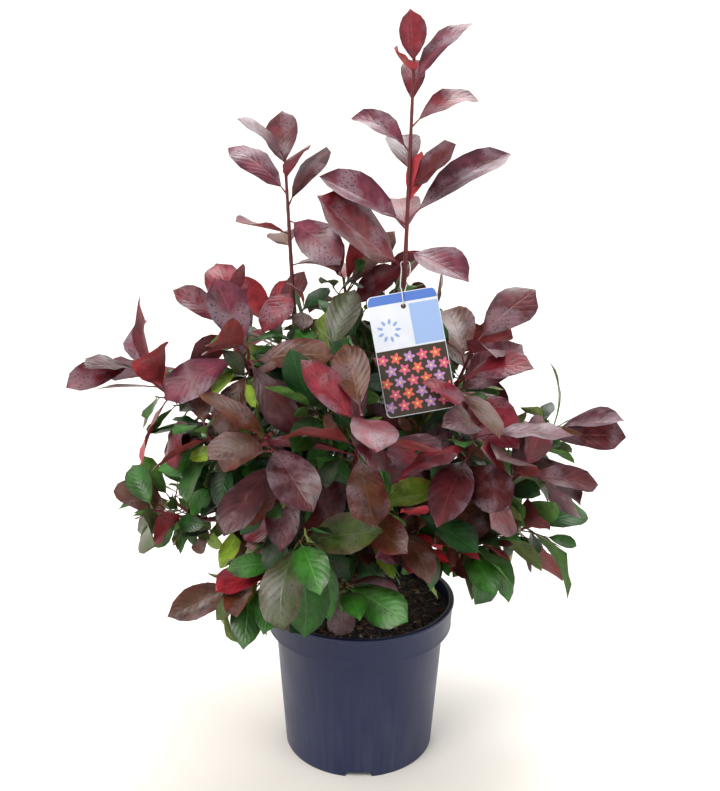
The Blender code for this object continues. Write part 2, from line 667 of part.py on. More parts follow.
def make_tie(parts, stem):
    """The loop that hangs the label on the tall leader: round the stem and through the card's hole."""
    card = card_matrix()
    hole_top = LABEL_HEIGHT / 2 - LABEL_HOLE_DROP + LABEL_HOLE_RADIUS - TIE_RADIUS - GAP
    share = (TIE_HEIGHT - stem[0][2]) / (stem[-1][2] - stem[0][2])
    middle, _ = along_line(stem, share)
    back = SHOOT_RADII[0] + TIE_RADIUS
    control = [
        np.array(card @ Vector((0.0, -0.004, hole_top + 0.0010))),
        np.array(card @ Vector((0.001, -0.005, LABEL_HEIGHT / 2 + 0.001))),
        np.array(card @ Vector((0.001, 0.004, LABEL_HEIGHT / 2 + 0.008))),
        middle + (-0.0052, -0.016, -0.007),
        middle + (-0.0050, 0.0, 0.0),
        middle + (0.0, back, 0.001),
        middle + (0.0050, 0.0, 0.0),
        middle + (0.0048, -0.018, -0.012),
        np.array(card @ Vector((0.001, 0.012, hole_top + 0.008))),
        np.array(card @ Vector((0.0, 0.0015, hole_top))),
    ]
    line = closed_curve_through(control, TIE_POINTS)
    tie = curve_body("label_tie", line, [TIE_RADIUS] * TIE_POINTS, parts, closed=True)
    paint(tie, "clear elastic", COLOURS["tie"], 0.4)


def closed_curve_through(control, count):
    """A smooth closed line through the given points."""
    control = np.array(control)
    total = len(control)
    points = []
    for k in range(count):
        x = total * k / count
        i, t = int(x), x - int(x)
        a, b, c, d = (control[(i + j) % total] for j in (-1, 0, 1, 2))
        bend = (2 * a - 5 * b + 4 * c - d) * t ** 2 + (3 * b - a - 3 * c + d) * t ** 3
        points.append(b + ((c - a) * t + bend) / 2)
    return np.array(points)


def limb_body(name, limb, margin, collection):
    """A limb's tube, longer and thicker by the margin, that ends straight."""
    tip = limb.line[-1]
    line = np.vstack([limb.line[:-1], tip - limb.heading * END_RUN, tip + limb.heading * margin])
    radii = np.insert(limb.radii, -1, limb.radii[-1]) + margin
    return curve_body(name, line, radii, collection)


def make_limbs(limbs, parts, cutters):
    """The main stem and boughs; each bough's foot is cut to the limb that it leaves."""
    bodies, copies = {}, {}
    parents = {"bough_" + shoot.name: shoot.parent for shoot in SHOOTS}
    for name, limb in limbs.items():
        bodies[name] = limb_body(name, limb, 0.0, parts)
        paint(bodies[name], name + " bark", COLOURS["bark"], 0.8)
    for parent in ["main_stem"] + sorted(set(parents.values()) - {"main_stem"}):
        copies[parent] = limb_body(parent + "_clearance", limbs[parent], GAP, cutters)
    for name, body in bodies.items():
        if name != "main_stem":
            cut(body, copies[parents[name]])
    return copies["main_stem"]


def skin_of(body):
    """A body's evaluated corners and faces in the world."""
    bpy.context.view_layer.update()
    evaluated = body.evaluated_get(bpy.context.evaluated_depsgraph_get())
    mesh = evaluated.to_mesh()
    corners = np.array([tuple(body.matrix_world @ v.co) for v in mesh.vertices])
    faces = [tuple(p.vertices) for p in mesh.polygons]
    evaluated.to_mesh_clear()
    return corners, faces


def add_first(tries, shoot, leaves, room):
    """Adds the first of a leaf's tries that finds room."""
    for leaf in tries:
        if room.hits(keeled_blade(leaf, CLEARANCE), shoot.name):
            continue
        if room.hits(keeled_blade(leaf, OWN_CLEARANCE, BLADE_STATIONS), shoot.name, own=True):
            continue
        leaves.append(leaf)
        room.add(shoot.name, keeled_blade(leaf))
        return


def grow_leaves(shoot, lines, room):
    """The shoot's leaves, set ones first, then the ones that chance places."""
    leaves = []
    if shoot.name == "right_leader":
        for row in LEADER_LEAVES:
            add_first((set_leaf(row, lines[0], nudge) for nudge in NUDGES), shoot, leaves, room)
    for line, k_line, order, count, place, seed in leaf_places(shoot, lines):
        spin = random.Random(seed).random() * math.tau
        chances = (random.Random((seed * PLACE_SLOTS + place) * TRY_SLOTS + k) for k in range(TRIES))
        tries = (leaf_at(shoot, line, k_line, order, count, spin, chance) for chance in chances)
        add_first(tries, shoot, leaves, room)
    return leaves


def twig_skin(k_line, line):
    return three_sided(line, np.linspace(*(TWIG_RADII if k_line else SHOOT_RADII), len(line)))


def make_mass(shoot, lines, leaves, parts, stem_clearance):
    """One mass of foliage: the shoot's stem with its twigs and leaves joined on."""
    loose = bpy.data.collections.new("loose")
    bpy.context.scene.collection.children.link(loose)
    name = "foliage_" + shoot.name
    stem = add_object(name + "_stem", mesh_of(name, *twig_skin(0, lines[0])), loose)
    loose.objects.unlink(stem)
    parts.objects.link(stem)
    for k, line in enumerate(lines[1:]):
        add_object(f"twig_{k}", mesh_of("twig", *twig_skin(1, line)), loose)
    for k, leaf in enumerate(leaves):
        add_object(f"leaf_{k}", mesh_of("leaf", *keeled_blade(leaf)), loose)
    join = stem.modifiers.new("join", "BOOLEAN")
    join.operation = "UNION"
    join.operand_type = "COLLECTION"
    join.collection = loose
    join.solver = "MANIFOLD"
    if shoot.name in STEM_SHOOTS:
        cut(stem, stem_clearance)
    faces = stem.modifiers.new("faces", "TRIANGULATE")
    faces.ngon_method = "BEAUTY"
    mass = made_mesh(stem, parts, weld=False)
    mass.name = name
    for body in list(loose.objects):
        bpy.data.objects.remove(body, do_unlink=True)
    bpy.data.collections.remove(loose)
    paint(mass, name + " leaves", COLOURS[shoot.hue], 0.45)


def main():
    parts, cutters = start_scene()
    make_pot(parts, cutters)
    make_mix(parts)
    limbs = limb_lines()
    stem_clearance = make_limbs(limbs, parts, cutters)
    lines = {shoot.name: [stem_of(shoot, limbs)] for shoot in SHOOTS}
    make_label(parts)
    make_tie(parts, lines["right_leader"][0])
    room = Room()
    for body in parts.objects:
        room.add(body.name, skin_of(body))
    for shoot in SHOOTS:
        lines[shoot.name] += twigs_of(shoot, lines[shoot.name][0])
        for k, line in enumerate(lines[shoot.name]):
            room.add(shoot.name, twig_skin(k, line))
    for shoot in SHOOTS:
        leaves = grow_leaves(shoot, lines[shoot.name], room)
        make_mass(shoot, lines[shoot.name], leaves, parts, stem_clearance)
    total = sum(len(skin_of(body)[1]) for body in parts.objects)
    print(len(parts.objects), "solids with", total, "faces")


main()
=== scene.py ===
# %% [markdown]
# # A young photinia shrub in its nursery pot
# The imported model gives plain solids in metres, with +Z up. This lesson dresses
# them: leaves with veins and a curl, young red twigs, bark, potting mix, moulded
# plastic and a printed card. Every piece is worked out in the model's own place,
# so it goes where the plain solid stands and nothing has to be fitted.

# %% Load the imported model
import json
import math
import random
from typing import NamedTuple

import bpy
import numpy as np
from mathutils import Matrix, Vector
from mathutils.bvhtree import BVHTree

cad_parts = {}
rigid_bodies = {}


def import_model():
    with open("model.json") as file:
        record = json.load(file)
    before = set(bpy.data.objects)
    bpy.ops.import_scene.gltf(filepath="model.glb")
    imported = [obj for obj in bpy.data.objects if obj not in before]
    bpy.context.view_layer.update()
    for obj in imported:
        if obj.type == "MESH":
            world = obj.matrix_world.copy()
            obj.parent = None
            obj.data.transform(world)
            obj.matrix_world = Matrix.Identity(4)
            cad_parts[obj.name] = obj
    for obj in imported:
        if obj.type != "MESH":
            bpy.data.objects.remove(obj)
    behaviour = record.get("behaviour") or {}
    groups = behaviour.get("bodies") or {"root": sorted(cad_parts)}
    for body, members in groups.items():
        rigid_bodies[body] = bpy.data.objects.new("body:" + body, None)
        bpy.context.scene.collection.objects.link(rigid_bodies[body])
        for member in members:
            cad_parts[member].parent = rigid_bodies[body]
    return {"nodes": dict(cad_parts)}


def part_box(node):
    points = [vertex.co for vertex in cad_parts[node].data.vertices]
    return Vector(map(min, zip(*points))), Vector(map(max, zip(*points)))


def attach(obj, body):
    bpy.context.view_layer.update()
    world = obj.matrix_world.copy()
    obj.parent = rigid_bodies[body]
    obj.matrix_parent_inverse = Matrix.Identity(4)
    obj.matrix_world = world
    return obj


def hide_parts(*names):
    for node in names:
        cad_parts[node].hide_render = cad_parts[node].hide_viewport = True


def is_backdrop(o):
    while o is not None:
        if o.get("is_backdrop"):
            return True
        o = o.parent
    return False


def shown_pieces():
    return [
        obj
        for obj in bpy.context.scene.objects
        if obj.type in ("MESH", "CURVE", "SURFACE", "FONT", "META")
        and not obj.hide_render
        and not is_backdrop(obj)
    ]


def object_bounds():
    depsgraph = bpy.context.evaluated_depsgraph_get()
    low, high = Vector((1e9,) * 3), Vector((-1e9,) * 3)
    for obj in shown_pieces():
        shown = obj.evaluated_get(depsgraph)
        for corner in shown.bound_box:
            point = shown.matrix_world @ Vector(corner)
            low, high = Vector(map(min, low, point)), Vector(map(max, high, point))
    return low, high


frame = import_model()
nodes = frame["nodes"]
cad_box = [list(corner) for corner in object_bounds()]
print(len(nodes), "nodes; the box in metres is", np.round(cad_box, 3).tolist())

# %% [markdown]
# ## The camera
# The photograph was taken from a little above the crown, looking down by about
# fifteen degrees with a normal lens. The camera stands at that place, and its
# small roll is the slight lean of the hand-held picture.

# %% Camera
CAMERA_PLACE = (-0.002, -1.1457, 0.7807)
CAMERA_PITCH, CAMERA_ROLL = math.radians(14.82), math.radians(0.49)
CAMERA_LENS, CAMERA_SENSOR = 43.24, 36.0  # mm

camera = bpy.data.objects.new("camera", bpy.data.cameras.new("camera"))
camera.data.lens, camera.data.sensor_width = CAMERA_LENS, CAMERA_SENSOR
camera.data.clip_start, camera.data.clip_end = 0.05, 50.0
camera.matrix_world = (
    Matrix.Translation(CAMERA_PLACE)
    @ Matrix.Rotation(math.pi / 2 - CAMERA_PITCH, 4, "X")
    @ Matrix.Rotation(CAMERA_ROLL, 4, "Z")
)
bpy.context.scene.collection.objects.link(camera)
bpy.context.scene.camera = camera
print("camera", camera.data.lens, "mm at", CAMERA_PLACE)

# %% [markdown]
# ## Helpers for materials
# A real surface is described by a few numbers: its colour, how rough it is and
# how it bends light. Colours are written as the hex values that a screen shows,
# so one function turns them to the linear values that the renderer adds up. One
# small function adds any node with its settings and its links.

# %% Colour and node helpers
def linear(hex_text):
    """The linear colour of an sRGB hex value: each channel to the power 2.4, or a line near black."""
    channels = [int(hex_text[k:k + 2], 16) / 255 for k in (1, 3, 5)]
    return (*[c / 12.92 if c <= 0.04045 else ((c + 0.055) / 1.055) ** 2.4 for c in channels], 1.0)


def add(tree, kind, inputs=None, **settings):
    """Adds a node; an input that is given a socket is linked, and any other is set."""
    node = tree.nodes.new(kind)
    for name, value in settings.items():
        setattr(node, name, value)
    for name, value in (inputs or {}).items():
        if isinstance(value, bpy.types.NodeSocket):
            tree.links.new(value, node.inputs[name])
        else:
            node.inputs[name].default_value = value
    return node


def finish_of(name, colour, roughness, **sockets):
    """A new material and its shader, with the constant values set on the shader's own sockets."""
    material = bpy.data.materials.new(name)
    material.use_nodes = True
    shader = material.node_tree.nodes["Principled BSDF"]
    shader.inputs["Base Color"].default_value = linear(colour)
    shader.inputs["Roughness"].default_value = roughness
    for socket, value in sockets.items():
        shader.inputs[socket.replace("_", " ")].default_value = value
    return material, material.node_tree, shader


print("white is", linear("#ffffff"), "and middle grey is", np.round(linear("#808080"), 3))

# %% [markdown]
# ## Helpers for shapes
# Nearly everything on a plant is a tube of some kind: a twig is one, and a leaf
# is one that was pressed flat. So one function turns a grid of rings into a
# closed skin, for many tubes at once. A signed volume then tells whether the
# faces point outwards, and turns them round if they don't.

# %% Skins from rings
def tubes(rings, looped=False, under=None):
    """Corners and triangles of closed tubes: rings[t, r, p] is corner p of ring r of tube t.

    Each square between two rings gives two triangles. The end rings are closed by fans,
    or with looped the last ring is joined to the first. In a thin blade the squares from
    corner under on are cut along the other diagonal, so that they lie parallel to those above.
    """
    count, length, around, _ = rings.shape
    corner = np.arange(count * length * around).reshape(count, length, around)
    a, b = (corner, np.roll(corner, -1, 1)) if looped else (corner[:, :-1], corner[:, 1:])
    a_next, b_next = np.roll(a, -1, 2), np.roll(b, -1, 2)
    sides = np.stack([a, a_next, b_next, a, b_next, b], -1)
    if under:
        sides[:, :, under:] = np.stack([a, a_next, b, a_next, b_next, b], -1)[:, :, under:]
    sides = sides.reshape(-1, 3)
    if looped:
        return rings.reshape(-1, 3), sides
    fan = np.stack([np.zeros(around - 2, int), np.arange(1, around - 1), np.arange(2, around)], -1)
    foot, tip = corner[:, 0][:, fan[:, ::-1]], corner[:, -1][:, fan]
    return rings.reshape(-1, 3), np.concatenate([sides, foot.reshape(-1, 3), tip.reshape(-1, 3)])


def joined(skins):
    """Several skins as one: each one's corner numbers start after those before it."""
    starts = np.cumsum([0] + [len(corners) for corners, _ in skins[:-1]])
    faces = [faces + start for (_, faces), start in zip(skins, starts)]
    return np.concatenate([corners for corners, _ in skins]), np.concatenate(faces)


def volume(corners, faces):
    """A sixth of the sum of a . (b x c) over the triangles a, b, c: above zero if they face outwards."""
    a, b, c = (corners[faces[:, k]] for k in range(3))
    return float((a * np.cross(b, c)).sum() / 6)


square = np.array(((0, 0, 0), (1, 0, 0), (1, 1, 0), (0, 1, 0)), float)
cube = tubes(np.stack([square, square + (0, 0, 1)])[None])
print("a cube as a tube of two rings has", len(cube[1]), "triangles and a volume of", volume(*cube))

# %% Pieces of the model
def piece(name, skin, materials, slot, replaced=(), kinds=None, uv=None, sharp=40.0):
    """A mesh object at the origin that rides on the root body and stands for the nodes replaced."""
    corners, faces = skin
    if volume(corners, faces) < 0:
        faces = faces[:, ::-1]
    mesh = bpy.data.meshes.new(name)
    mesh.vertices.add(len(corners))
    mesh.vertices.foreach_set("co", np.ascontiguousarray(corners, np.float32).ravel())
    mesh.loops.add(faces.size)
    mesh.loops.foreach_set("vertex_index", np.ascontiguousarray(faces, np.int32).ravel())
    mesh.polygons.add(len(faces))
    mesh.polygons.foreach_set("loop_start", np.arange(0, faces.size, 3, dtype=np.int32))
    mesh.polygons.foreach_set("use_smooth", np.ones(len(faces), bool))
    for material in materials:
        mesh.materials.append(material)
    if kinds is not None:
        mesh.polygons.foreach_set("material_index", np.ascontiguousarray(kinds, np.int32))
    mesh.update(calc_edges=True)
    if uv is not None:
        layer = mesh.uv_layers.new(name="UVMap")
        layer.data.foreach_set("uv", np.ascontiguousarray(uv[faces.ravel()], np.float32).ravel())
    mesh.set_sharp_from_angle(angle=math.radians(sharp))
    body = bpy.data.objects.new(name, mesh)
    bpy.context.scene.collection.objects.link(body)
    if slot:
        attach(body, "root")
        if replaced:
            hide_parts(*replaced)
    print(name, len(faces), "triangles,", round(abs(volume(corners, faces)) * 1e6, 2), "cm3")
    return body


# %% Tubes along lines
def tube(line, radii, around, relief=1.0):
    """Rings square to a line: point + radius * relief * (side cos t + other sin t), t once round."""
    along = np.gradient(line, axis=0)
    along /= np.linalg.norm(along, axis=1)[:, None]
    reference = np.cross(line[-1] - line[0], (0.31, 0.87, 0.12))
    side = reference - along * (along @ reference)[:, None]
    side /= np.linalg.norm(side, axis=1)[:, None]
    other = np.cross(along, side)
    turn = np.linspace(0, math.tau, around, endpoint=False)[None, :, None]
    out = side[:, None] * np.cos(turn) + other[:, None] * np.sin(turn)
    size = (np.broadcast_to(radii, len(line))[:, None] * relief)[..., None]
    return line[:, None] + out * size


def cubic_between(a, b, c, d, t):
    """The Catmull-Rom cubic: the way from b to c, with a before them and d after, as t goes from 0 to 1."""
    return b + ((c - a) * t + (2 * a - 5 * b + 4 * c - d) * t ** 2 + (3 * b - a - 3 * c + d) * t ** 3) / 2


def smooth_line(points, count):
    """A smooth line of count points through a few: each stretch is one such cubic."""
    points = np.vstack([2 * points[0] - points[1], points, 2 * points[-1] - points[-2]])
    x = np.linspace(0, len(points) - 3, count)
    i = np.minimum(x.astype(int), len(points) - 4)
    return cubic_between(*(points[i + k] for k in range(4)), (x - i)[:, None])


print("through a cube's foot in nine steps:", smooth_line(square, 9)[:, :2].round(2).tolist())


# %% [markdown]
# ## Floor and light
# The plant stood on pale paper in soft light. A shallow bowl of paper, flat in
# the middle and curving up all round, hides its horizon from every side. One broad
# lamp stands over the viewer's left shoulder, and one behind and above the plant
# lays a grey gloss on every leaf that faces up. A weak one at the right softens
# the shadows, and a fourth lights the paper behind the plant.

# %% Paper sweep
FLAT_RADIUS, SWEEP_RADIUS, WALL_TOP, PAPER_THICKNESS = 2.2, 1.2, 2.4, 0.02
BEND_STEPS, SWEEP_SIDES = 16, 96
POLE = 0.001  # m: a turned shape closes in a flat fan of this radius


def turned_rings(radii, heights, turns):
    """The rings of a turned shape: (r cos t, r sin t, z) for each radius and height of its profile."""
    radii, heights = np.asarray(radii)[:, None], np.asarray(heights)[:, None]
    flat = [radii * np.cos(turns), radii * np.sin(turns), heights + 0 * turns]
    return np.stack(flat, -1)


bend = np.linspace(0, math.pi / 2, BEND_STEPS)
sweep_r = np.r_[POLE, 0.5, FLAT_RADIUS + SWEEP_RADIUS * np.sin(bend), FLAT_RADIUS + SWEEP_RADIUS]
sweep_z = np.r_[0, 0, SWEEP_RADIUS * (1 - np.cos(bend)), WALL_TOP]
turn = np.linspace(0, math.tau, SWEEP_SIDES, endpoint=False)
inner = turned_rings(sweep_r, sweep_z, turn)
outer = turned_rings(sweep_r[::-1] + PAPER_THICKNESS, sweep_z[::-1] - PAPER_THICKNESS, turn)
# Matt paper: it scatters light evenly and has no gloss of its own.
paper = finish_of("matt background paper", "#e9e6e1", 0.9)[0]
piece("paper_floor", tubes(np.concatenate([inner, outer])[None]), [paper], "")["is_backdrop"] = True

# %% Lamps and sky
SKY_COLOUR, SKY_STRENGTH = "#f5f6f7", 0.56


def lamp(name, place, target, size, watts, colour="#ffffff"):
    """A square soft lamp that faces its target."""
    light = bpy.data.lights.new(name, "AREA")
    light.shape, light.size, light.energy = "SQUARE", size, watts
    light.color = linear(colour)[:3]
    body = bpy.data.objects.new(name, light)
    body.location = place
    body.rotation_euler = (Vector(target) - Vector(place)).to_track_quat("-Z", "Y").to_euler()
    bpy.context.scene.collection.objects.link(body)


lamp("key_light", (-1.2, -1.5, 2.2), (0, 0, 0.5), 1.3, 57, "#fffaf4")
lamp("back_light", (0.5, 1.2, 2.5), (0, 0, 0.45), 1.7, 56)
lamp("fill_light", (1.8, -1.2, 1.3), (0, 0, 0.45), 1.0, 9, "#f4f8ff")
lamp("wall_light", (0.0, 0.9, 2.7), (0, 3.4, 0.9), 1.6, 50)
world = bpy.data.worlds.new("soft sky")
world.use_nodes = True
world.node_tree.nodes["Background"].inputs["Color"].default_value = linear(SKY_COLOUR)
world.node_tree.nodes["Background"].inputs["Strength"].default_value = SKY_STRENGTH
bpy.context.scene.world = world
bpy.context.scene.view_settings.view_transform = "Standard"
print(len(bpy.data.lights), "lamps under a sky of strength", SKY_STRENGTH)

# %% [markdown]
# ## How the shrub grows
# Photinia makes upright stems that fork low down, and each stem ends in a shoot
# whose leaves follow each other by the golden angle. New leaves are wine red and
# turn green as they age. The rule below is the one that made the plain solids:
# a table of shoots, a seed for every flush of leaves, and a test that no leaf
# touches what stands already. Grown again with the same seeds, each leaf comes
# out in the same place, and can then be drawn with all its detail. The tall
# leader stands clear of the rest, so its leaves are placed one by one instead.

# %% The shoots
SOIL_TOP, GAP = 0.194, 0.0003
STEM_LINE = ((0, 0, SOIL_TOP + GAP), (0, 0, 0.225), (0.004, -0.001, 0.262), (0.006, 0.001, 0.300))
STEM_RADII = (0.0135, 0.0098, 0.0088, 0.0078)
MAIN_BOUGH_RADII, SIDE_BOUGH_RADII, SIDE_BOUGH_SHARE = (0.0056, 0.0031), (0.0040, 0.0026), 0.76
STEM_POINTS, LEAD_POINTS, TWIG_POINTS, BOUGH_POINTS = 6, 5, 5, 6
LEAVING_PULL, ARRIVING_PULL = 0.34, 0.32  # of a bough's reach, toward its parent's line and its shoot's
SHOOT_RADII, TWIG_RADII = (0.0028, 0.0017), (0.0022, 0.0016)


class Shoot(NamedTuple):
    """A leafy shoot and the bough that carries it."""
    name: str
    parent: str
    joins: float
    foot: tuple
    tip: tuple
    sag: float
    twig_turns: tuple
    leaves: int
    leaf_length: float
    hue: str
    seeds: tuple


SHOOTS = (
    Shoot("right_leader", "main_stem", 1, (0.050, 0.000, 0.600), (0.056, -0.010, 0.880), 0.01,
          (), 0, 0.112, "red", ()),
    Shoot("left_leader", "main_stem", 0.74, (-0.085, 0.020, 0.585), (-0.093, 0.010, 0.765), 0.00,
          (), 10, 0.092, "red", (1882, 3463, 330, 2901)),
    Shoot("upper_left", "bough_left_leader", 0.50, (-0.123, -0.050, 0.505), (-0.158, -0.070, 0.590), 0.10,
          (225,), 12, 0.092, "red", (1962, 894, 2536, 1470)),
    Shoot("far_left", "main_stem", 0.44, (-0.185, -0.030, 0.455), (-0.270, -0.050, 0.525), 0.05,
          (), 12, 0.100, "red", (2391, 3655, 2012, 3980)),
    Shoot("upper_right", "bough_right_leader", 0.38, (0.092, -0.020, 0.455), (0.134, -0.030, 0.550), 0.08,
          (180,), 13, 0.105, "red", (976, 2065, 662, 2714)),
    Shoot("right_far", "main_stem", 0.62, (0.180, -0.010, 0.390), (0.248, 0.000, 0.440), 0.05,
          (), 11, 0.100, "mixed", (3420, 3853, 2181)),
    Shoot("right_mid", "bough_right_far", 0.62, (0.140, -0.055, 0.365), (0.190, -0.090, 0.410), 0.05,
          (), 9, 0.108, "red", (2506, 2300, 592)),
    Shoot("low_left", "bough_far_left", 0.42, (-0.165, -0.060, 0.335), (-0.250, -0.080, 0.355), 0.05,
          (0,), 11, 0.080, "mixed", (3948, 1266, 448)),
    Shoot("right_low_far", "bough_right_far", 0.40, (0.155, 0.010, 0.285), (0.222, 0.000, 0.305), 0.03,
          (), 9, 0.105, "mixed", (2699, 1661, 3294)),
    Shoot("front_centre", "main_stem", 0.56, (-0.010, -0.115, 0.420), (0.000, -0.165, 0.500), 0.08,
          (), 11, 0.105, "red", (2143, 0, 2254)),
    Shoot("front_left", "bough_front_centre", 0.45, (-0.070, -0.115, 0.415), (-0.104, -0.163, 0.472), 0.08,
          (), 10, 0.100, "red", (601, 557, 2193)),
    Shoot("right_inner", "bough_right_far", 0.50, (0.112, -0.085, 0.395), (0.132, -0.125, 0.480), 0.06,
          (), 9, 0.110, "red", (1509, 687, 3494)),
    Shoot("left_front", "main_stem", 0.30, (-0.075, -0.095, 0.335), (-0.102, -0.155, 0.415), 0.10,
          (225,), 13, 0.092, "mixed", (1555, 482, 2821)),
    Shoot("centre_low", "bough_front_centre", 0.22, (-0.005, -0.095, 0.318), (0.006, -0.160, 0.405), 0.10,
          (315,), 13, 0.090, "mixed", (2098, 2760, 797)),
    Shoot("left_mid", "bough_far_left", 0.66, (-0.147, -0.065, 0.413), (-0.180, -0.100, 0.460), 0.06,
          (), 10, 0.082, "mixed", (2421, 2413, 3538)),
    Shoot("centre_green", "bough_left_leader", 0.30, (-0.020, -0.050, 0.430), (-0.040, -0.075, 0.545), 0.03,
          (180,), 14, 0.085, "green", (197, 829, 2373)),
    Shoot("centre_top", "bough_right_leader", 0.70, (-0.012, 0.030, 0.545), (-0.024, 0.035, 0.620), 0.04,
          (), 10, 0.085, "mixed", (1677, 3626, 2646)),
    Shoot("right_green", "bough_right_far", 0.22, (0.075, -0.045, 0.375), (0.098, -0.070, 0.445), 0.05,
          (90,), 13, 0.072, "green", (250, 1243, 1518)),
    Shoot("low_left_green", "main_stem", 0.22, (-0.085, -0.105, 0.285), (-0.150, -0.160, 0.290), -0.10,
          (270,), 13, 0.080, "low", (1254, 995, 3912, 1314)),
    Shoot("front_low", "main_stem", 0.12, (-0.020, -0.085, 0.270), (-0.018, -0.150, 0.285), -0.04,
          (), 11, 0.092, "low", (1096, 1647, 3860)),
    Shoot("right_low", "main_stem", 0.35, (0.110, -0.050, 0.290), (0.165, -0.075, 0.320), 0.02,
          (135,), 13, 0.080, "low", (2112, 3719, 3891)),
    Shoot("front_right_low", "main_stem", 0.28, (0.045, -0.075, 0.300), (0.066, -0.125, 0.345), 0.05,
          (), 11, 0.080, "low", (2126, 1370, 2517)),
    Shoot("left_green", "bough_left_leader", 0.20, (-0.095, 0.020, 0.395), (-0.150, 0.015, 0.435), 0.05,
          (90,), 13, 0.070, "green", (3473, 651)),
    Shoot("back_top", "bough_right_leader", 0.50, (0.035, 0.065, 0.490), (0.045, 0.105, 0.585), 0.05,
          (270,), 13, 0.090, "mixed", (868,)),
    Shoot("back_left_high", "bough_left_leader", 0.62, (-0.090, 0.090, 0.480), (-0.125, 0.135, 0.545), 0.05,
          (), 12, 0.088, "mixed", (3302,)),
    Shoot("back_centre", "main_stem", 0.62, (0.000, 0.150, 0.400), (0.000, 0.235, 0.465), 0.06,
          (90,), 13, 0.092, "mixed", (2664,)),
    Shoot("back_right_high", "bough_back_centre", 0.70, (0.095, 0.120, 0.430), (0.135, 0.165, 0.500), 0.05,
          (), 12, 0.092, "mixed", (738,)),
    Shoot("back_left", "bough_back_centre", 0.45, (-0.110, 0.125, 0.350), (-0.195, 0.185, 0.400), 0.05,
          (90,), 13, 0.088, "mixed", (1542,)),
    Shoot("back_right", "bough_back_centre", 0.28, (0.115, 0.125, 0.300), (0.195, 0.180, 0.350), 0.05,
          (135,), 13, 0.088, "low", (3266,)),
    Shoot("back_low", "main_stem", 0.45, (-0.015, 0.110, 0.275), (-0.030, 0.200, 0.300), 0.03,
          (180,), 13, 0.080, "low", (3892,)),
)


class SetLeaf(NamedTuple):
    """A leaf of the tall leader, whose leaves are placed one by one."""
    height: float      # share of the way up the stem
    turn: float        # degrees round it, from +X toward +Y
    rise: float        # degrees above level
    length: float
    breadth: float     # by its length
    curl: float
    roll: float        # degrees about its midrib
    tint: str


LEADER_LEAVES = (
    SetLeaf(0.95, 255, 74, 0.062, 0.50, 0.3, 0, "wine"),
    SetLeaf(0.93, 240, 30, 0.046, 0.75, 0.2, 0, "crimson"),
    SetLeaf(0.87, 350, 65, 0.106, 0.36, 1.0, -20, "mauve"),
    SetLeaf(0.72, 352, 46, 0.102, 0.34, 1.5, 0, "wine"),
    SetLeaf(0.62, 200, 51, 0.088, 0.42, 1.4, 0, "mauve"),
    SetLeaf(0.40, 6, 75, 0.066, 0.42, 0.2, 180, "crimson"),
    SetLeaf(0.46, 332, 46, 0.083, 0.60, 0.3, 0, "maroon"),
    SetLeaf(0.34, 0, 45, 0.156, 0.34, 0.8, 0, "mauve"),
    SetLeaf(0.32, 186, 37, 0.120, 0.44, 0.5, 0, "mauve"),
    SetLeaf(0.12, 203, 45, 0.142, 0.70, 0.3, 10, "wine"),
    SetLeaf(0.21, 322, -6, 0.092, 0.60, 0.6, -10, "mauve"),
    SetLeaf(0.80, 85, 68, 0.070, 0.42, 0.6, 0, "wine"),
    SetLeaf(0.53, 100, 52, 0.092, 0.44, 0.9, 0, "maroon"),
    SetLeaf(0.27, 95, 42, 0.105, 0.46, 0.8, 0, "wine"),
)
NUDGES = (0, 7, -7, 14, -14, 21)    # degrees that a set leaf may turn to find room
# These spring from the main stem itself, with no bough between.
STEM_SHOOTS = ("low_left_green", "front_low", "right_low", "front_right_low", "back_low")
MAIN_BOUGHS = ("right_leader", "left_leader", "far_left", "right_far", "front_centre", "back_centre")
print(len(SHOOTS), "shoots with", sum(shoot.leaves for shoot in SHOOTS), "places for leaves")

# %% [markdown]
# ## Stems, boughs and twigs
# A bough leaves its parent along the parent's own direction, bends away and
# arrives in line with the shoot that it carries, so it is a cubic curve between
# two points with a pull at each. A shoot's stem goes on from there with a slight
# sag, and its side twigs branch off at half a right angle.

# %% Helpers for lines
UP = np.array((0.0, 0.0, 1.0))
TWIG_SHARE, FIRST_TWIG, TWIG_STEP = 0.75, 0.22, 0.24
TWIG_SHARE_OF_STEM, TWIG_LEAST, TWIG_SAG = 0.62, 0.012, 0.07
LOWEST_ON_STEM, LOWEST_ON_LEAD, LOWEST_ON_TWIG, HIGHEST = 0.12, 0.5, 0.35, 0.985


def unit(v):
    """A vector over its own length."""
    return v / np.linalg.norm(v)


def square_to(v, direction):
    """The part of a vector square to a unit direction, made a unit vector."""
    return unit(v - direction * (v @ direction))


def turned(v, axis, angle):
    """A vector turned about a unit axis: its part along stays, and the rest goes round by cos and sin."""
    along = axis * (axis @ v)
    return along + (v - along) * math.cos(angle) + np.cross(axis, v) * math.sin(angle)


def frames(points):
    """Direction and two cross directions at each point of a line, carried along without twisting."""
    along = np.array([unit(step) for step in np.gradient(points, axis=0)])
    side = square_to(np.array((0.3, 0.9, 0.1)), along[0])
    sides = []
    for direction in along:
        side = square_to(side, direction)
        sides.append(side)
    return along, np.array(sides), np.cross(along, sides)


def arc(foot, tip, sag, count):
    """A line from foot to tip that hangs sag of its length below straight at its middle."""
    foot, tip = np.array(foot, float), np.array(tip, float)
    t = np.linspace(0, 1, count)[:, None]
    return foot + (tip - foot) * t - UP * sag * np.linalg.norm(tip - foot) * 4 * t * (1 - t)


def bezier(a, b, c, d, count):
    """A cubic from a to d that leaves toward b and arrives from c: weights (1 - t) ** 3 and so on."""
    t = np.linspace(0, 1, count)[:, None]
    return a * (1 - t) ** 3 + 3 * b * t * (1 - t) ** 2 + 3 * c * t * t * (1 - t) + d * t ** 3


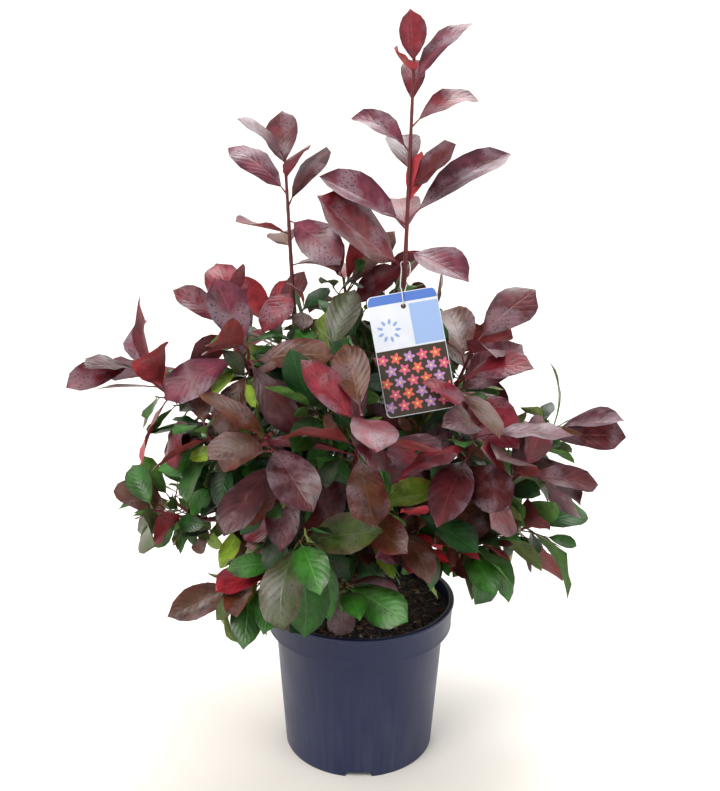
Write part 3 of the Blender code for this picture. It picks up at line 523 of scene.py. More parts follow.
def along_line(points, share):
    """The point and direction at a share of a line."""
    x = share * (len(points) - 1)
    i = min(int(x), len(points) - 2)
    return points[i] + (points[i + 1] - points[i]) * (x - i), unit(points[i + 1] - points[i])


print("square to up:", square_to(np.array((1.0, 0.0, 1.0)), UP))

# %% Lines of stems, boughs and twigs
class Limb(NamedTuple):
    """The main stem or a bough: the points of its line, and its radius at each."""
    line: np.ndarray
    radii: np.ndarray


def limb_lines():
    """The main stem, then one bough for each shoot off it."""
    limbs = {"main_stem": Limb(np.array(STEM_LINE), np.array(STEM_RADII))}
    for shoot in SHOOTS:
        if shoot.name in STEM_SHOOTS:
            continue
        parent = limbs[shoot.parent]
        start, along = along_line(parent.line, shoot.joins)
        line = arc(shoot.foot, shoot.tip, shoot.sag, STEM_POINTS)
        foot, heading = line[0], unit(line[1] - line[0])
        reach = np.linalg.norm(foot - start)
        leave = unit(0.6 * along + 0.8 * square_to(foot - start, along))
        if shoot.joins == 1:
            leave = along
        ends = MAIN_BOUGH_RADII
        if shoot.name not in MAIN_BOUGHS:
            thickest = SIDE_BOUGH_SHARE * np.interp(shoot.joins, (0, 1), parent.radii[[0, -1]])
            ends = (min(SIDE_BOUGH_RADII[0], thickest), SIDE_BOUGH_RADII[1])
        away, home = start + leave * LEAVING_PULL * reach, foot - heading * ARRIVING_PULL * reach
        line = bezier(start, away, home, foot, BOUGH_POINTS)
        limbs["bough_" + shoot.name] = Limb(line, np.linspace(*ends, BOUGH_POINTS))
    return limbs


def stem_of(shoot, limbs):
    """A shoot's stem: from just past its bough's tip, or from inside the main stem."""
    line = arc(shoot.foot, shoot.tip, shoot.sag, STEM_POINTS)
    heading = unit(line[1] - line[0])
    if shoot.name not in STEM_SHOOTS:
        line[0] += heading * GAP
        return line
    start, _ = along_line(limbs[shoot.parent].line, shoot.joins)
    reach = np.linalg.norm(line[0] - start)
    leave = unit(line[0] - start + UP * 0.3 * reach)
    away, home = start + leave * LEAVING_PULL * reach, line[0] - heading * ARRIVING_PULL * reach
    lead = bezier(start, away, home, line[0], LEAD_POINTS)
    return np.vstack([lead[:-1], line])


def twigs_of(shoot, line):
    """Side twigs that branch from a shoot's stem."""
    _, sides, others = frames(line)
    length = math.dist(shoot.foot, shoot.tip)
    found = []
    for k, degrees in enumerate(shoot.twig_turns):
        first = LOWEST_ON_LEAD if shoot.name in STEM_SHOOTS else FIRST_TWIG
        start, direction = along_line(line, first + TWIG_STEP * k)
        turn = math.radians(degrees)
        out = square_to(sides[1] * math.cos(turn) + others[1] * math.sin(turn), direction)
        tip = start + unit(direction + out) * (length * TWIG_SHARE_OF_STEM + TWIG_LEAST)
        found.append(arc(start, tip, TWIG_SAG, TWIG_POINTS))
    return found


limbs = limb_lines()
lines = {shoot.name: [stem_of(shoot, limbs)] for shoot in SHOOTS}
for shoot in SHOOTS:
    lines[shoot.name] += twigs_of(shoot, lines[shoot.name][0])
print(len(limbs), "limbs and", sum(len(found) for found in lines.values()), "stems and twigs")

# %% [markdown]
# ## A leaf's line
# A leaf leaves its twig on a short stalk and then curls back a little along its
# length, and its blade may twist. Its midrib is worked out for many leaves at
# once, as the sum of small steps whose direction turns.

# %% Leaves and their midribs
GOLDEN_ANGLE = math.radians(137.5)
PETIOLE = 0.13  # the stalk's share of a leaf
MIDRIB_STEPS, CURL_POWER = 24, 1.25
LEAF_STATIONS, BLADE_STATIONS = (0.0, 0.46, 0.78, 1.0), (0.24, 0.46, 0.78, 1.0)
BLADE_FULLNESS, BLADE_RISE, BLADE_FALL = 0.98, 0.75, 0.62
CURL_START, LEAST_CURL, KEEL_SHARE = 0.08, 0.15, 0.62
LEAF_ROOT_WIDTH, LEAF_THICKNESS = 0.0016, 0.022
CLEARANCE, OWN_CLEARANCE = 0.0012, 0.0006
TRIES, PLACE_SLOTS, TRY_SLOTS = 6, 100, 10
OPENING, OPENING_LOSS, OPENING_SPREAD = 80, 44, 44
TURN_SPREAD, ROLL_SPREAD, TWIST_SPREAD = 1.5, 1.7, 1.0
DROOP, CROWDING = 0.5, 0.75
SHORTEST, LENGTH_SPREAD = 0.80, 0.36
NARROWEST, WIDTH_SPREAD = 0.40, 0.10


class Leaf(NamedTuple):
    """A leaf: where it starts and which ways it and its upper face point, its size, curl and twist."""
    root: np.ndarray
    heading: np.ndarray
    face: np.ndarray
    length: float
    width: float
    curl: float
    twist: float


def stacked(leaves):
    """Many leaves as one, each of its values an array with a row for every leaf."""
    return Leaf(*(np.array(values) for values in zip(*leaves)))


def midribs(leaf, shares):
    """Points, cross directions and upper normals along the midribs of stacked leaves.

    The blade's direction turns from heading away from face by curl * (how far past its start) ** 1.25,
    and the midrib is the sum of small steps along it; twist turns the blade about it.
    """
    fine = np.linspace(0, 1, MIDRIB_STEPS + 1)
    curl, twist, length = leaf.curl[:, None], leaf.twist[:, None], leaf.length[:, None, None]
    bend = curl * np.clip((fine - CURL_START) / (1 - CURL_START), 0, 1) ** CURL_POWER
    heads = np.cos(bend)[..., None] * leaf.heading[:, None] - np.sin(bend)[..., None] * leaf.face[:, None]
    steps = (heads[:, 1:] + heads[:, :-1]) / 2 * np.diff(fine)[:, None] * length
    line = leaf.root[:, None] + np.concatenate([0 * steps[:, :1], np.cumsum(steps, axis=1)], axis=1)
    x = np.asarray(shares) * MIDRIB_STEPS
    i = np.minimum(x.astype(int), MIDRIB_STEPS - 1)
    part = (x - i)[:, None]
    points = line[:, i] * (1 - part) + line[:, i + 1] * part
    heads = heads[:, i] * (1 - part) + heads[:, i + 1] * part
    heads /= np.linalg.norm(heads, axis=2)[..., None]
    across = np.cross(leaf.heading, leaf.face)[:, None]
    turn = (twist * np.asarray(shares))[..., None]
    sides = across * np.cos(turn) + np.cross(across, heads) * np.sin(turn)
    return points, sides, np.cross(sides, heads)


straight = Leaf(np.zeros(3), UP, np.array((0.0, -1.0, 0.0)), 0.1, 0.04, 0.0, 0.0)
print("a straight leaf of 100 mm ends at", midribs(stacked([straight]), (0.0, 1.0))[0][0, 1].round(3))

# %% [markdown]
# ## Room to grow
# No leaf may touch another, or a twig or the pot. So every leaf is first laid
# out as a plain keeled blade of a few triangles, swelled by a small margin, and
# tested with Blender's tree of triangles against all that stands near it.

# %% Plain blades and the test of room
def loft(rings):
    """Corners and faces of a closed skin over rings of three corners; a last ring of one is a point."""
    corners, faces = np.concatenate(rings), [(2, 1, 0)]
    for k in range(len(rings) - 1):
        a, b = 3 * k, 3 * k + 3
        if len(rings[k + 1]) == 1:
            faces += [(a, a + 1, b), (a + 1, a + 2, b), (a + 2, a, b)]
            continue
        for i in range(3):
            j = (i + 1) % 3
            faces += [(a + i, a + j, b + j), (a + i, b + j, b + i)]
    if len(rings[-1]) == 3:
        a = 3 * (len(rings) - 1)
        faces.append((a, a + 1, a + 2))
    return corners, faces


def three_sided(points, radii):
    """A twig: a tapering tube of three sides."""
    _, sides, others = frames(points)
    turn = np.linspace(0, math.tau, 3, endpoint=False)[None, :, None]
    out = sides[:, None] * np.cos(turn) + others[:, None] * np.sin(turn)
    return loft(list(points[:, None] + out * radii[:, None, None]))


def twig_skin(k_line, line):
    """The plain skin of a shoot's stem, its line number 0, or of a side twig."""
    return three_sided(line, np.linspace(*(TWIG_RADII if k_line else SHOOT_RADII), len(line)))


def keeled_blade(leaf, margin=0.0, stations=LEAF_STATIONS):
    """A leaf as the plain solid has it, a thin keeled blade; margin swells it for tests of clearance."""
    points, sides, ups = (value[0] for value in midribs(stacked([leaf]), stations))
    keel = LEAF_THICKNESS * leaf.length
    rings = []
    for share, point, side, up in zip(stations[:-1], points, sides, ups):
        u = min(max((share - PETIOLE) / (1 - PETIOLE), 0), 1)
        width = BLADE_FULLNESS * leaf.width * u ** BLADE_RISE * (1 - u) ** BLADE_FALL + margin
        low, high = KEEL_SHARE * keel + margin, (1 - KEEL_SHARE) * keel + margin
        if share == 0:
            width = low = LEAF_ROOT_WIDTH / 2 + margin
            high = LEAF_ROOT_WIDTH / 3 + margin
        out, over = side * width, up * high
        rings.append([point + out + over, point - up * low, point - out + over])
    rings.append([points[-1] + np.cross(ups[-1], sides[-1]) * margin])
    return loft(rings)


class Room:
    """What stands already. A new piece is tested against it before it is added."""

    def __init__(self):
        self.pieces = []

    def add(self, owner, skin):
        corners, faces = skin
        tree = BVHTree.FromPolygons([tuple(c) for c in corners], faces)
        self.pieces.append((owner, corners.min(0), corners.max(0), tree))

    def hits(self, skin, owner, own=False):
        """Whether a skin touches the owner's pieces, or with own False the others' pieces."""
        corners, faces = skin
        low, high = corners.min(0), corners.max(0)
        tree = None
        for name, a, b, other in self.pieces:
            if (name == owner) != own or (low > b).any() or (high < a).any():
                continue
            if tree is None:
                tree = BVHTree.FromPolygons([tuple(c) for c in corners], faces)
            if tree.overlap(other):
                return True
        return False


print("a plain blade has", len(keeled_blade(straight)[1]), "triangles")

# %% [markdown]
# ## Leaves along a shoot
# Leaves climb a stem by the golden angle, so that each stands clear of the one
# below it. Toward the tip they crowd together, stand more upright and get
# smaller. Chance opens, turns, tilts and sizes each one a little differently.

# %% Where each leaf stands
def leaf_places(shoot, lines):
    """Where a shoot's leaves stand: the line, the order and count along it, and the flush's seed."""
    weights = [1.0] + [TWIG_SHARE] * (len(lines) - 1)
    left, place = shoot.leaves, 0
    for k, line in enumerate(lines):
        last = k == len(lines) - 1
        count = left if last else round(shoot.leaves * weights[k] / sum(weights))
        left -= count
        for order in range(count):
            yield line, k, order, count, place, shoot.seeds[place * len(shoot.seeds) // shoot.leaves]
            place += 1


def leaf_at(shoot, line, k_line, order, count, spin, chance):
    """One leaf of a shoot: its height goes by its order, its turn, tilt and size by chance."""
    share = order / max(1, count - 1)
    lowest = LOWEST_ON_TWIG if k_line else LOWEST_ON_LEAD if shoot.name in STEM_SHOOTS else LOWEST_ON_STEM
    height = lowest + (HIGHEST - lowest) * share ** CROWDING
    root, _ = along_line(line, height)
    along, sides, others = frames(line)
    k = min(int(height * (len(line) - 1)) + 1, len(line) - 1)
    turn = spin + order * GOLDEN_ANGLE + TURN_SPREAD * (chance.random() - 0.5)
    opening = math.radians(OPENING - OPENING_LOSS * share + OPENING_SPREAD * (chance.random() - 0.5))
    out = sides[k] * math.cos(turn) + others[k] * math.sin(turn)
    heading = along[k] * math.cos(opening) + out * math.sin(opening)
    heading = unit(heading - UP * DROOP * chance.random() * (1 - 0.6 * share))
    face = along[k] * 0.6 + UP * 0.75
    if abs(unit(face) @ heading) > 0.93:
        face = face - out * 0.6
    face = turned(square_to(face, heading), heading, ROLL_SPREAD * (chance.random() - 0.5))
    length = shoot.leaf_length * (0.80 + 0.28 * math.sin(math.pi * (0.12 + 0.72 * share)))
    length *= SHORTEST + LENGTH_SPREAD * chance.random()
    width = length * (NARROWEST + WIDTH_SPREAD * chance.random())
    curl = LEAST_CURL + chance.random()
    return Leaf(root, heading, face, length, width, curl, TWIST_SPREAD * (chance.random() - 0.5))


def set_leaf(row, line, nudge):
    """A set leaf, its face turned up and to the front."""
    root, _ = along_line(line, row.height)
    turn, rise = math.radians(row.turn + nudge), math.radians(row.rise)
    heading = np.array((math.cos(turn) * math.cos(rise), math.sin(turn) * math.cos(rise), math.sin(rise)))
    face = turned(square_to(np.array((0.0, -0.6, 0.8)), heading), heading, math.radians(row.roll))
    return Leaf(root, heading, face, row.length, row.length * row.breadth, row.curl, 0.0)


places = list(leaf_places(SHOOTS[1], lines[SHOOTS[1].name]))
print(SHOOTS[1].name, "has", len(places), "places in", len({place[-1] for place in places}), "flushes")


# %% [markdown]
# ## Tints
# A photinia shows its whole year at once: crimson and wine leaves at the tips,
# bronze ones below them and green ones inside. Each kind of shoot has its own
# mixture of nine tints, and chance deals one to every leaf.

# %% Grow the leaves
TINTS = ("crimson", "wine", "mauve", "maroon", "bronze", "olive", "leaf_green", "deep_green", "lime")
MIXTURES = {
    "red": (0.14, 0.26, 0.24, 0.24, 0.12, 0, 0, 0, 0),
    "mixed": (0.07, 0.15, 0.10, 0.11, 0.18, 0.05, 0.20, 0.12, 0.02),
    "low": (0.09, 0.07, 0.06, 0.12, 0.16, 0.05, 0.25, 0.15, 0.05),
    "green": (0, 0, 0, 0.02, 0.08, 0.20, 0.32, 0.28, 0.10),
}


def tint_of(hue, draw):
    """The tint that a draw from 0 to 1 picks: each takes its share of the range in turn."""
    ends = np.cumsum(MIXTURES[hue])
    return int(min(np.searchsorted(ends, draw, side="right"), np.flatnonzero(MIXTURES[hue]).max()))


room = Room()
for name, body in nodes.items():
    if not name.startswith("foliage_"):
        corners = np.array([vertex.co for vertex in body.data.vertices], float)
        room.add(name, (corners, [tuple(face.vertices) for face in body.data.polygons]))
for shoot in SHOOTS:
    for k, line in enumerate(lines[shoot.name]):
        room.add(shoot.name, twig_skin(k, line))

leaves, tints, owners = [], [], []


def add_first(tries, shoot):
    """Adds the first of a leaf's tries, each a leaf and its tint, that finds room."""
    for leaf, tint in tries:
        if room.hits(keeled_blade(leaf, CLEARANCE), shoot.name):
            continue
        if room.hits(keeled_blade(leaf, OWN_CLEARANCE, BLADE_STATIONS), shoot.name, own=True):
            continue
        leaves.append(leaf)
        tints.append(tint)
        owners.append(shoot.name)
        room.add(shoot.name, keeled_blade(leaf))
        return


def tries_at(shoot, place):
    """The tries of one place along a shoot: the same place, with fresh draws for each."""
    line, k_line, order, count, number, seed = place
    spin = random.Random(seed).random() * math.tau
    for k in range(TRIES):
        chance = random.Random((seed * PLACE_SLOTS + number) * TRY_SLOTS + k)
        leaf = leaf_at(shoot, line, k_line, order, count, spin, chance)
        yield leaf, tint_of(shoot.hue, chance.random())


for shoot in SHOOTS:
    own_lines = lines[shoot.name]
    if shoot.name == "right_leader":
        for row in LEADER_LEAVES:
            tint = TINTS.index(row.tint)
            add_first(((set_leaf(row, own_lines[0], nudge), tint) for nudge in NUDGES), shoot)
    for place in leaf_places(shoot, own_lines):
        add_first(tries_at(shoot, place), shoot)
# The low leader's leaves roll about their own midribs until their faces meet the front light.
FRONT, FRONT_PULL = np.array((-0.25, -1.0, 0.35)), 0.9
for k, (leaf, owner) in enumerate(zip(leaves, owners)):
    if owner == "left_leader":
        leaves[k] = leaf._replace(face=square_to(leaf.face + FRONT_PULL * FRONT, leaf.heading))
print(len(leaves), "leaves found room; by tint", np.bincount(tints, minlength=len(TINTS)).tolist())

# %% [markdown]
# ## Finer twigs
# Between its big leaves the real shrub carries short spurs with smaller, mostly
# green leaves, too fine for the plain solids. They grow here by the same rule,
# on shoots and along the boughs inside the crown, and a leaf that would leave
# its box is skipped. The two leaders stay bare of them, as they are in life.

# %% Spurs and their small leaves
SPUR_LEAVES, SPUR_RADII = 5, (0.0012, 0.0007)
SPUR_SHORTEST, SPUR_SPREAD, SPUR_SAG, SPUR_POINTS = 0.014, 0.020, 0.05, 5
SPURS_OF, SPURS_ON_BOUGH = {"red": 4, "mixed": 8, "low": 8, "green": 8}, 9
FIRST_SPUR, LAST_SPUR_OF_RED, LAST_SPUR = 0.06, 0.5, 0.88  # shares of a shoot's line
FIRST_ON_MAIN_STEM, FIRST_ON_BOUGH, LAST_ON_BOUGH = 0.5, 0.25, 0.95
SPUR_SEED, BOUGH_SEEDS = 7919, 5000  # numbers that set the spurs' draws apart
INNER_HUE = {"red": "green", "mixed": "green", "low": "low", "green": "green"}
SMALL_LEAF, BOUGH_LEAF = 0.52, 0.060    # a share of the shoot's own leaf length, and metres
BARE = ("right_leader", "left_leader")

spur_lines, spur_hues, small_leaves, small_tints = [], [], [], []


def grow_spurs(owner, line, shares, shoot, hue, box, seed):
    """Spurs at the given shares of a line; one is kept if any of its few leaves finds room."""
    _, sides, others = frames(line)
    for k, share in enumerate(shares):
        chance = random.Random(SPUR_SEED * seed + k)
        start, direction = along_line(line, share)
        turn = k * GOLDEN_ANGLE + math.tau * chance.random()
        out = square_to(sides[1] * math.cos(turn) + others[1] * math.sin(turn), direction)
        length = SPUR_SHORTEST + SPUR_SPREAD * chance.random()
        tip = start + unit(0.7 * direction + out + 0.3 * UP) * length
        spur = arc(start, tip, SPUR_SAG, SPUR_POINTS)
        before = len(small_leaves)
        for order in range(SPUR_LEAVES):
            leaf = leaf_at(shoot, spur, 1, order, SPUR_LEAVES, turn, chance)
            tint = tint_of(hue, chance.random())
            skin = keeled_blade(leaf, OWN_CLEARANCE, BLADE_STATIONS)
            if (skin[0] < box[0]).any() or (skin[0] > box[1]).any():
                continue
            if room.hits(skin, owner) or room.hits(skin, owner, own=True):
                continue
            small_leaves.append(leaf)
            small_tints.append(tint)
            room.add(owner, keeled_blade(leaf, 0, BLADE_STATIONS))
        if len(small_leaves) > before:
            spur_lines.append(spur)
            spur_hues.append(hue)


for number, shoot in enumerate(SHOOTS):
    if shoot.name in BARE:
        continue
    box = np.array(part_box("foliage_" + shoot.name))
    finer = shoot._replace(leaf_length=shoot.leaf_length * SMALL_LEAF)
    for k, line in enumerate(lines[shoot.name]):
        lowest = LOWEST_ON_LEAD if shoot.name in STEM_SHOOTS and not k else FIRST_SPUR
        highest = LAST_SPUR_OF_RED if shoot.hue == "red" else LAST_SPUR
        shares = np.linspace(lowest, highest, SPURS_OF[shoot.hue])
        grow_spurs(shoot.name, line, shares, finer, INNER_HUE[shoot.hue], box, 100 * number + k)
on_shoots = len(small_leaves)
finer = SHOOTS[0]._replace(leaf_length=BOUGH_LEAF)
for number, (name, limb) in enumerate(limbs.items()):
    lowest = FIRST_ON_MAIN_STEM if name == "main_stem" else FIRST_ON_BOUGH
    shares = np.linspace(lowest, LAST_ON_BOUGH, SPURS_ON_BOUGH)
    grow_spurs(name, limb.line, shares, finer, "green", np.array(cad_box), BOUGH_SEEDS + number)
print(len(spur_lines), "spurs;", on_shoots, "leaves on shoots,", len(small_leaves) - on_shoots, "on boughs")

# %% [markdown]
# ## Leaf blades
# A photinia leaf is a leathery oval with a drawn-out drip tip, folded a little
# along its midrib, with a margin that waves. Each one here is a flattened tube:
# five points across its upper face, three beneath, and a round stalk at its foot.
# Its rings lie closer together toward the tip. A few dozen squares a side are
# enough, since the veins are drawn by the material.

# %% Blades as flattened tubes
LEAF_RINGS = np.r_[0, 0.07, 1 - (1 - PETIOLE) * (1 - np.linspace(0, 1, 9)) ** 1.35]
SMALL_RINGS = np.r_[0, 1 - (1 - PETIOLE) * (1 - np.linspace(0, 1, 6)) ** 1.3]
ACROSS = np.array((1, 0.52, 0, -0.52, -1, -0.52, 0, 0.52))  # of the half breadth, over the top and back under
ROUND = np.linspace(0, math.tau, 8, endpoint=False)
BREADTH = 0.475  # half of the greatest breadth, as a share of the rule's leaf width
STALK_RADIUS, EDGE_THICKNESS, MIDRIB_THICKNESS = 0.0010, 0.00020, 0.00060
# The least and the greatest value that a leaf may have.
RISE, FALL, SIZE = (0.74, 1.12), (0.56, 0.90), (0.90, 1.10)
FOLD, RECURVE, WAVES, WAVE_SIZE = (0.14, 0.66), (0.0, 0.34), (1.3, 3.0), (0.03, 0.16)
DRIP_TIP, RAGGED, SETTLED = 0.45, 0.022, 0.3


def smoothstep(x, low, high):
    """0 below low and 1 above high, with the cubic t * t * (3 - 2 t) between."""
    t = np.clip((x - low) / (high - low), 0, 1)
    return t * t * (3 - 2 * t)


def blades(leaf, shares, look):
    """The rings of stacked leaves.

    The half breadth goes by u ** rise * (1 - u) ** fall along the blade, with a small drip tip, and each
    leaf has its own exponents. Across, a point lies at s half breadths; up, at fold * |s| - recurve * s ** 2
    half breadths, plus a wave that grows with s ** 2. The whole blade then settles by a share of its fold.
    """
    def own(least, greatest):
        """One value to each leaf."""
        return look.uniform(least, greatest, (len(leaf.length), 1, 1))

    points, sides, ups = midribs(leaf, shares)
    u = np.clip((shares - PETIOLE) / (1 - PETIOLE), 0, 1)[None, :, None]
    rise, fall = own(*RISE), own(*FALL)
    top = rise / (rise + fall)
    half = u ** rise * (1 - u) ** fall / (top ** rise * (1 - top) ** fall)
    half *= (1 - DRIP_TIP * smoothstep(u, 0.84, 0.98)) * own(*SIZE) * BREADTH * leaf.width[:, None, None]
    ragged = 1 + look.uniform(-RAGGED, RAGGED, (len(leaf.length), len(shares), 8)) * (np.abs(ACROSS) == 1)
    s = ACROSS[None, None]
    fold, recurve, waves, size = own(*FOLD), own(*RECURVE), own(*WAVES), own(*WAVE_SIZE)
    phase = own(0, math.tau) + np.where(s > 0, 0, 2.1)
    along = shares[None, :, None]
    wave = size * s ** 2 * np.sin(math.tau * waves * along + phase)
    rise = half * (fold * np.abs(s) - recurve * s ** 2 + wave)
    rise = rise - SETTLED * fold * half
    slim = smoothstep(along, 0.09, 0.20)
    thick = EDGE_THICKNESS + (MIDRIB_THICKNESS * (1.2 - 0.8 * along) - EDGE_THICKNESS) * (1 - np.abs(s)) ** 2
    radius = STALK_RADIUS * (1 - slim) * (leaf.length[:, None, None] / 0.1) ** 0.5 + thick * slim
    flat, up = s * half * ragged + np.cos(ROUND) * radius, rise + np.sin(ROUND) * radius
    return points[:, :, None] + sides[:, :, None] * flat[..., None] + ups[:, :, None] * up[..., None]


def blade_uv(count, shares):
    """Across the blade 0 to 1 with the midrib at a half, and along it 0 to 1."""
    u = np.broadcast_to(0.5 + 0.5 * ACROSS, (count, len(shares), 8))
    v = np.broadcast_to(shares[None, :, None], (count, len(shares), 8))
    return np.stack([u, v], -1).reshape(-1, 2)


def blade_kinds(count, shares):
    """0 for the upper face, 1 for the underside and 2 for the stalk, for each triangle that tubes() gives."""
    kinds = np.zeros((len(shares) - 1, 8), int)
    kinds[:, 4:] = 1
    kinds[shares[1:] <= PETIOLE + 0.02] = 2
    sides = np.broadcast_to(np.repeat(kinds, 2, axis=1), (count, len(shares) - 1, 16)).ravel()
    return np.concatenate([sides, np.full(6 * count, 2), np.full(6 * count, 0)])


def leaf_piece(name, chosen, shares, look, materials, slot):
    """All the leaves of one tint as one piece."""
    rings = blades(stacked(chosen), shares, look)
    kinds, uv = blade_kinds(len(chosen), shares), blade_uv(len(chosen), shares)
    piece(name, tubes(rings, under=4), materials, slot, kinds=kinds, uv=uv, sharp=75)


print(len(LEAF_RINGS) * 8, "corners to a leaf,", len(SMALL_RINGS) * 8, "to a small one")

# %% [markdown]
# ## Leaf surfaces
# The upper face is cuticle: a waxy skin over pigment, so it has a soft gloss
# over a deep colour, and rain leaves pale marks and small dark specks on it. Its
# pale grey patches are partly those marks and partly a painted sheen: the grey
# gloss of the light, painted into the colour. The midrib and side veins are
# paler and slightly sunk, which quilts the blade. The underside is paler and
# dull. All of it is drawn from the leaf's own UV map and from noise whose scale
# is a real size.

# %% Leaf materials
SIDE_VEINS, VEIN_SLANT = 9.0, 2.6  # pairs of veins, and how far forward they sweep
# How many go to the metre: blotches of 15 mm, patches of rain marks and painted sheen of 30 mm, and specks 4
# mm apart.
BLOTCHES, MARKS_AND_SHEEN_PATCHES, SPECKS = 65.0, 30.0, 230.0
# The grey-lilac of dried rain marks, and of a painted sheen: the grey gloss of the light, painted into the
# leaf's colour.
MARKS_AND_SHEEN_COLOUR, SPECK_COLOUR = "#86747f", "#1c1214"
LEAF_GLOSS, UNDERSIDE_GLOSS, SHADED = 0.35, 0.60, 0.82
RED_TINTS = 5  # the first tints, whose stalks are red
LEAF_COLOURS = {  # the blade, its margin, its veins, its underside, and its share of grey rain marks and painted sheen
    "crimson": ("#a81e2c", "#88162a", "#b8444c", "#b0323c", 0.20),
    "wine": ("#7e1e2c", "#601428", "#9c404a", "#a0323c", 0.40),
    "mauve": ("#662a3a", "#502034", "#864856", "#8c3c48", 0.54),
    "maroon": ("#521a20", "#421622", "#743a3a", "#843434", 0.34),
    "bronze": ("#54301c", "#582018", "#784e34", "#7a482c", 0.26),
    "olive": ("#3c4e20", "#46401e", "#5e7036", "#5e7036", 0.16),
    "leaf_green": ("#306c20", "#28541a", "#5e9244", "#5a863e", 0.10),
    "deep_green": ("#1a441c", "#163818", "#3c6c36", "#426a38", 0.14),
    "lime": ("#76982a", "#7c862c", "#a6bc60", "#90a45c", 0.10),
}


def leaf_surface(name, blade, margin, vein, gloss, marks_and_sheen):
    """Leathery cuticle: pigment under a waxy skin, with sunk veins, specks, and grey patches that are partly
    rain marks and partly painted sheen.
    """
    material, tree, shader = finish_of(name, blade, gloss, Specular_IOR_Level=0.35)
    uv = add(tree, "ShaderNodeUVMap", uv_map="UVMap")
    spot = add(tree, "ShaderNodeTexCoord").outputs["Object"]
    parts = add(tree, "ShaderNodeSeparateXYZ", {0: uv.outputs["UV"]})
    offset = add(tree, "ShaderNodeMath", {0: parts.outputs["X"], 1: 0.5}, operation="SUBTRACT")
    away = add(tree, "ShaderNodeMath", {0: offset.outputs[0]}, operation="ABSOLUTE").outputs[0]
    blotch = add(tree, "ShaderNodeTexNoise",
                 {"Vector": spot, "Scale": BLOTCHES, "Detail": 3.0}).outputs["Fac"]
    # Side veins leave the midrib in pairs and sweep forward: v * pairs - |u| * slant is whole on a vein.
    sweep = add(tree, "ShaderNodeMath", {0: away, 1: -2 * VEIN_SLANT, 2: 0.0}, operation="MULTIPLY_ADD")
    wander = add(tree, "ShaderNodeMath", {0: blotch, 1: 0.6, 2: sweep.outputs[0]}, operation="MULTIPLY_ADD")
    row = add(tree, "ShaderNodeMath", {0: parts.outputs["Y"], 1: SIDE_VEINS, 2: wander.outputs[0]},
              operation="MULTIPLY_ADD")
    wave = add(tree, "ShaderNodeMath", {0: row.outputs[0], 1: 0.5}, operation="PINGPONG").outputs[0]
    side_vein = add(tree, "ShaderNodeMapRange",
                    {"Value": wave, "From Min": 0.0, "From Max": 0.10, "To Min": 0.30, "To Max": 0.0},
                    interpolation_type="SMOOTHSTEP").outputs[0]
    midrib = add(tree, "ShaderNodeMapRange",
                 {"Value": away, "From Min": 0.008, "From Max": 0.032, "To Min": 0.85, "To Max": 0.0},
                 interpolation_type="SMOOTHSTEP").outputs[0]
    veins = add(tree, "ShaderNodeMath", {0: midrib, 1: side_vein}, operation="MAXIMUM").outputs[0]
    edge = add(tree, "ShaderNodeMapRange", {"Value": away, "From Min": 0.22, "From Max": 0.5}).outputs[0]
    body = add(tree, "ShaderNodeMix", {0: edge, 6: linear(blade), 7: linear(margin)},
               data_type="RGBA").outputs[2]
    shade = add(tree, "ShaderNodeMapRange",
                {"Value": blotch, "From Min": 0.3, "From Max": 0.7,
                 "To Min": 0.55, "To Max": 1.30}).outputs[0]
    body = add(tree, "ShaderNodeMix", {0: 1.0, 6: body, 7: shade}, data_type="RGBA",
               blend_type="MULTIPLY").outputs[2]
    faint = add(tree, "ShaderNodeMath", {0: veins, 1: 0.48}, operation="MULTIPLY").outputs[0]
    body = add(tree, "ShaderNodeMix", {0: faint, 6: body, 7: linear(vein)}, data_type="RGBA").outputs[2]
    # Pale grey films: partly dried rain marks, and partly a painted sheen, the light's grey gloss put into
    # the colour.
    film = add(tree, "ShaderNodeTexNoise", {"Vector": spot, "Scale": MARKS_AND_SHEEN_PATCHES, "Detail": 3.0}).outputs["Fac"]
    film = add(tree, "ShaderNodeMapRange",
               {"Value": film, "From Min": 0.49, "From Max": 0.62, "To Min": 0.0, "To Max": marks_and_sheen}).outputs[0]
    body = add(tree, "ShaderNodeMix", {0: film, 6: body, 7: linear(MARKS_AND_SHEEN_COLOUR)}, data_type="RGBA").outputs[2]
    # Dark specks half a millimetre wide, drawn three times as wide so that they show.
    cell = add(tree, "ShaderNodeTexVoronoi", {"Vector": spot, "Scale": SPECKS}).outputs["Distance"]
    speck = add(tree, "ShaderNodeMapRange",
                {"Value": cell, "From Min": 0.17, "From Max": 0.30, "To Min": 0.9, "To Max": 0.0}).outputs[0]
    patch = add(tree, "ShaderNodeMapRange",
                {"Value": film, "From Min": 0.02, "From Max": 0.20, "To Min": 0.35, "To Max": 1.0}).outputs[0]
    speck = add(tree, "ShaderNodeMath", {0: speck, 1: patch}, operation="MULTIPLY").outputs[0]
    body = add(tree, "ShaderNodeMix", {0: speck, 6: body, 7: linear(SPECK_COLOUR)},
               data_type="RGBA").outputs[2]
    tree.links.new(body, shader.inputs["Base Color"])
    rough = add(tree, "ShaderNodeMapRange",
                {"Value": blotch, "From Min": 0.3, "From Max": 0.7,
                 "To Min": gloss - 0.07, "To Max": gloss + 0.10}).outputs[0]
    tree.links.new(rough, shader.inputs["Roughness"])
    raised = add(tree, "ShaderNodeMath", {0: veins, 1: -1.0, 2: wave}, operation="MULTIPLY_ADD").outputs[0]
    raised = add(tree, "ShaderNodeMath", {0: blotch, 1: 1.2, 2: raised}, operation="MULTIPLY_ADD").outputs[0]
    bump = add(tree, "ShaderNodeBump", {"Strength": 0.35, "Distance": 0.0007, "Height": raised})
    tree.links.new(bump.outputs["Normal"], shader.inputs["Normal"])
    return material


def shaded(hex_text, factor):
    """A hex colour made darker or lighter by a factor."""
    channels = [min(255, round(int(hex_text[k:k + 2], 16) * factor)) for k in (1, 3, 5)]
    return "#" + "".join(f"{channel:02x}" for channel in channels)


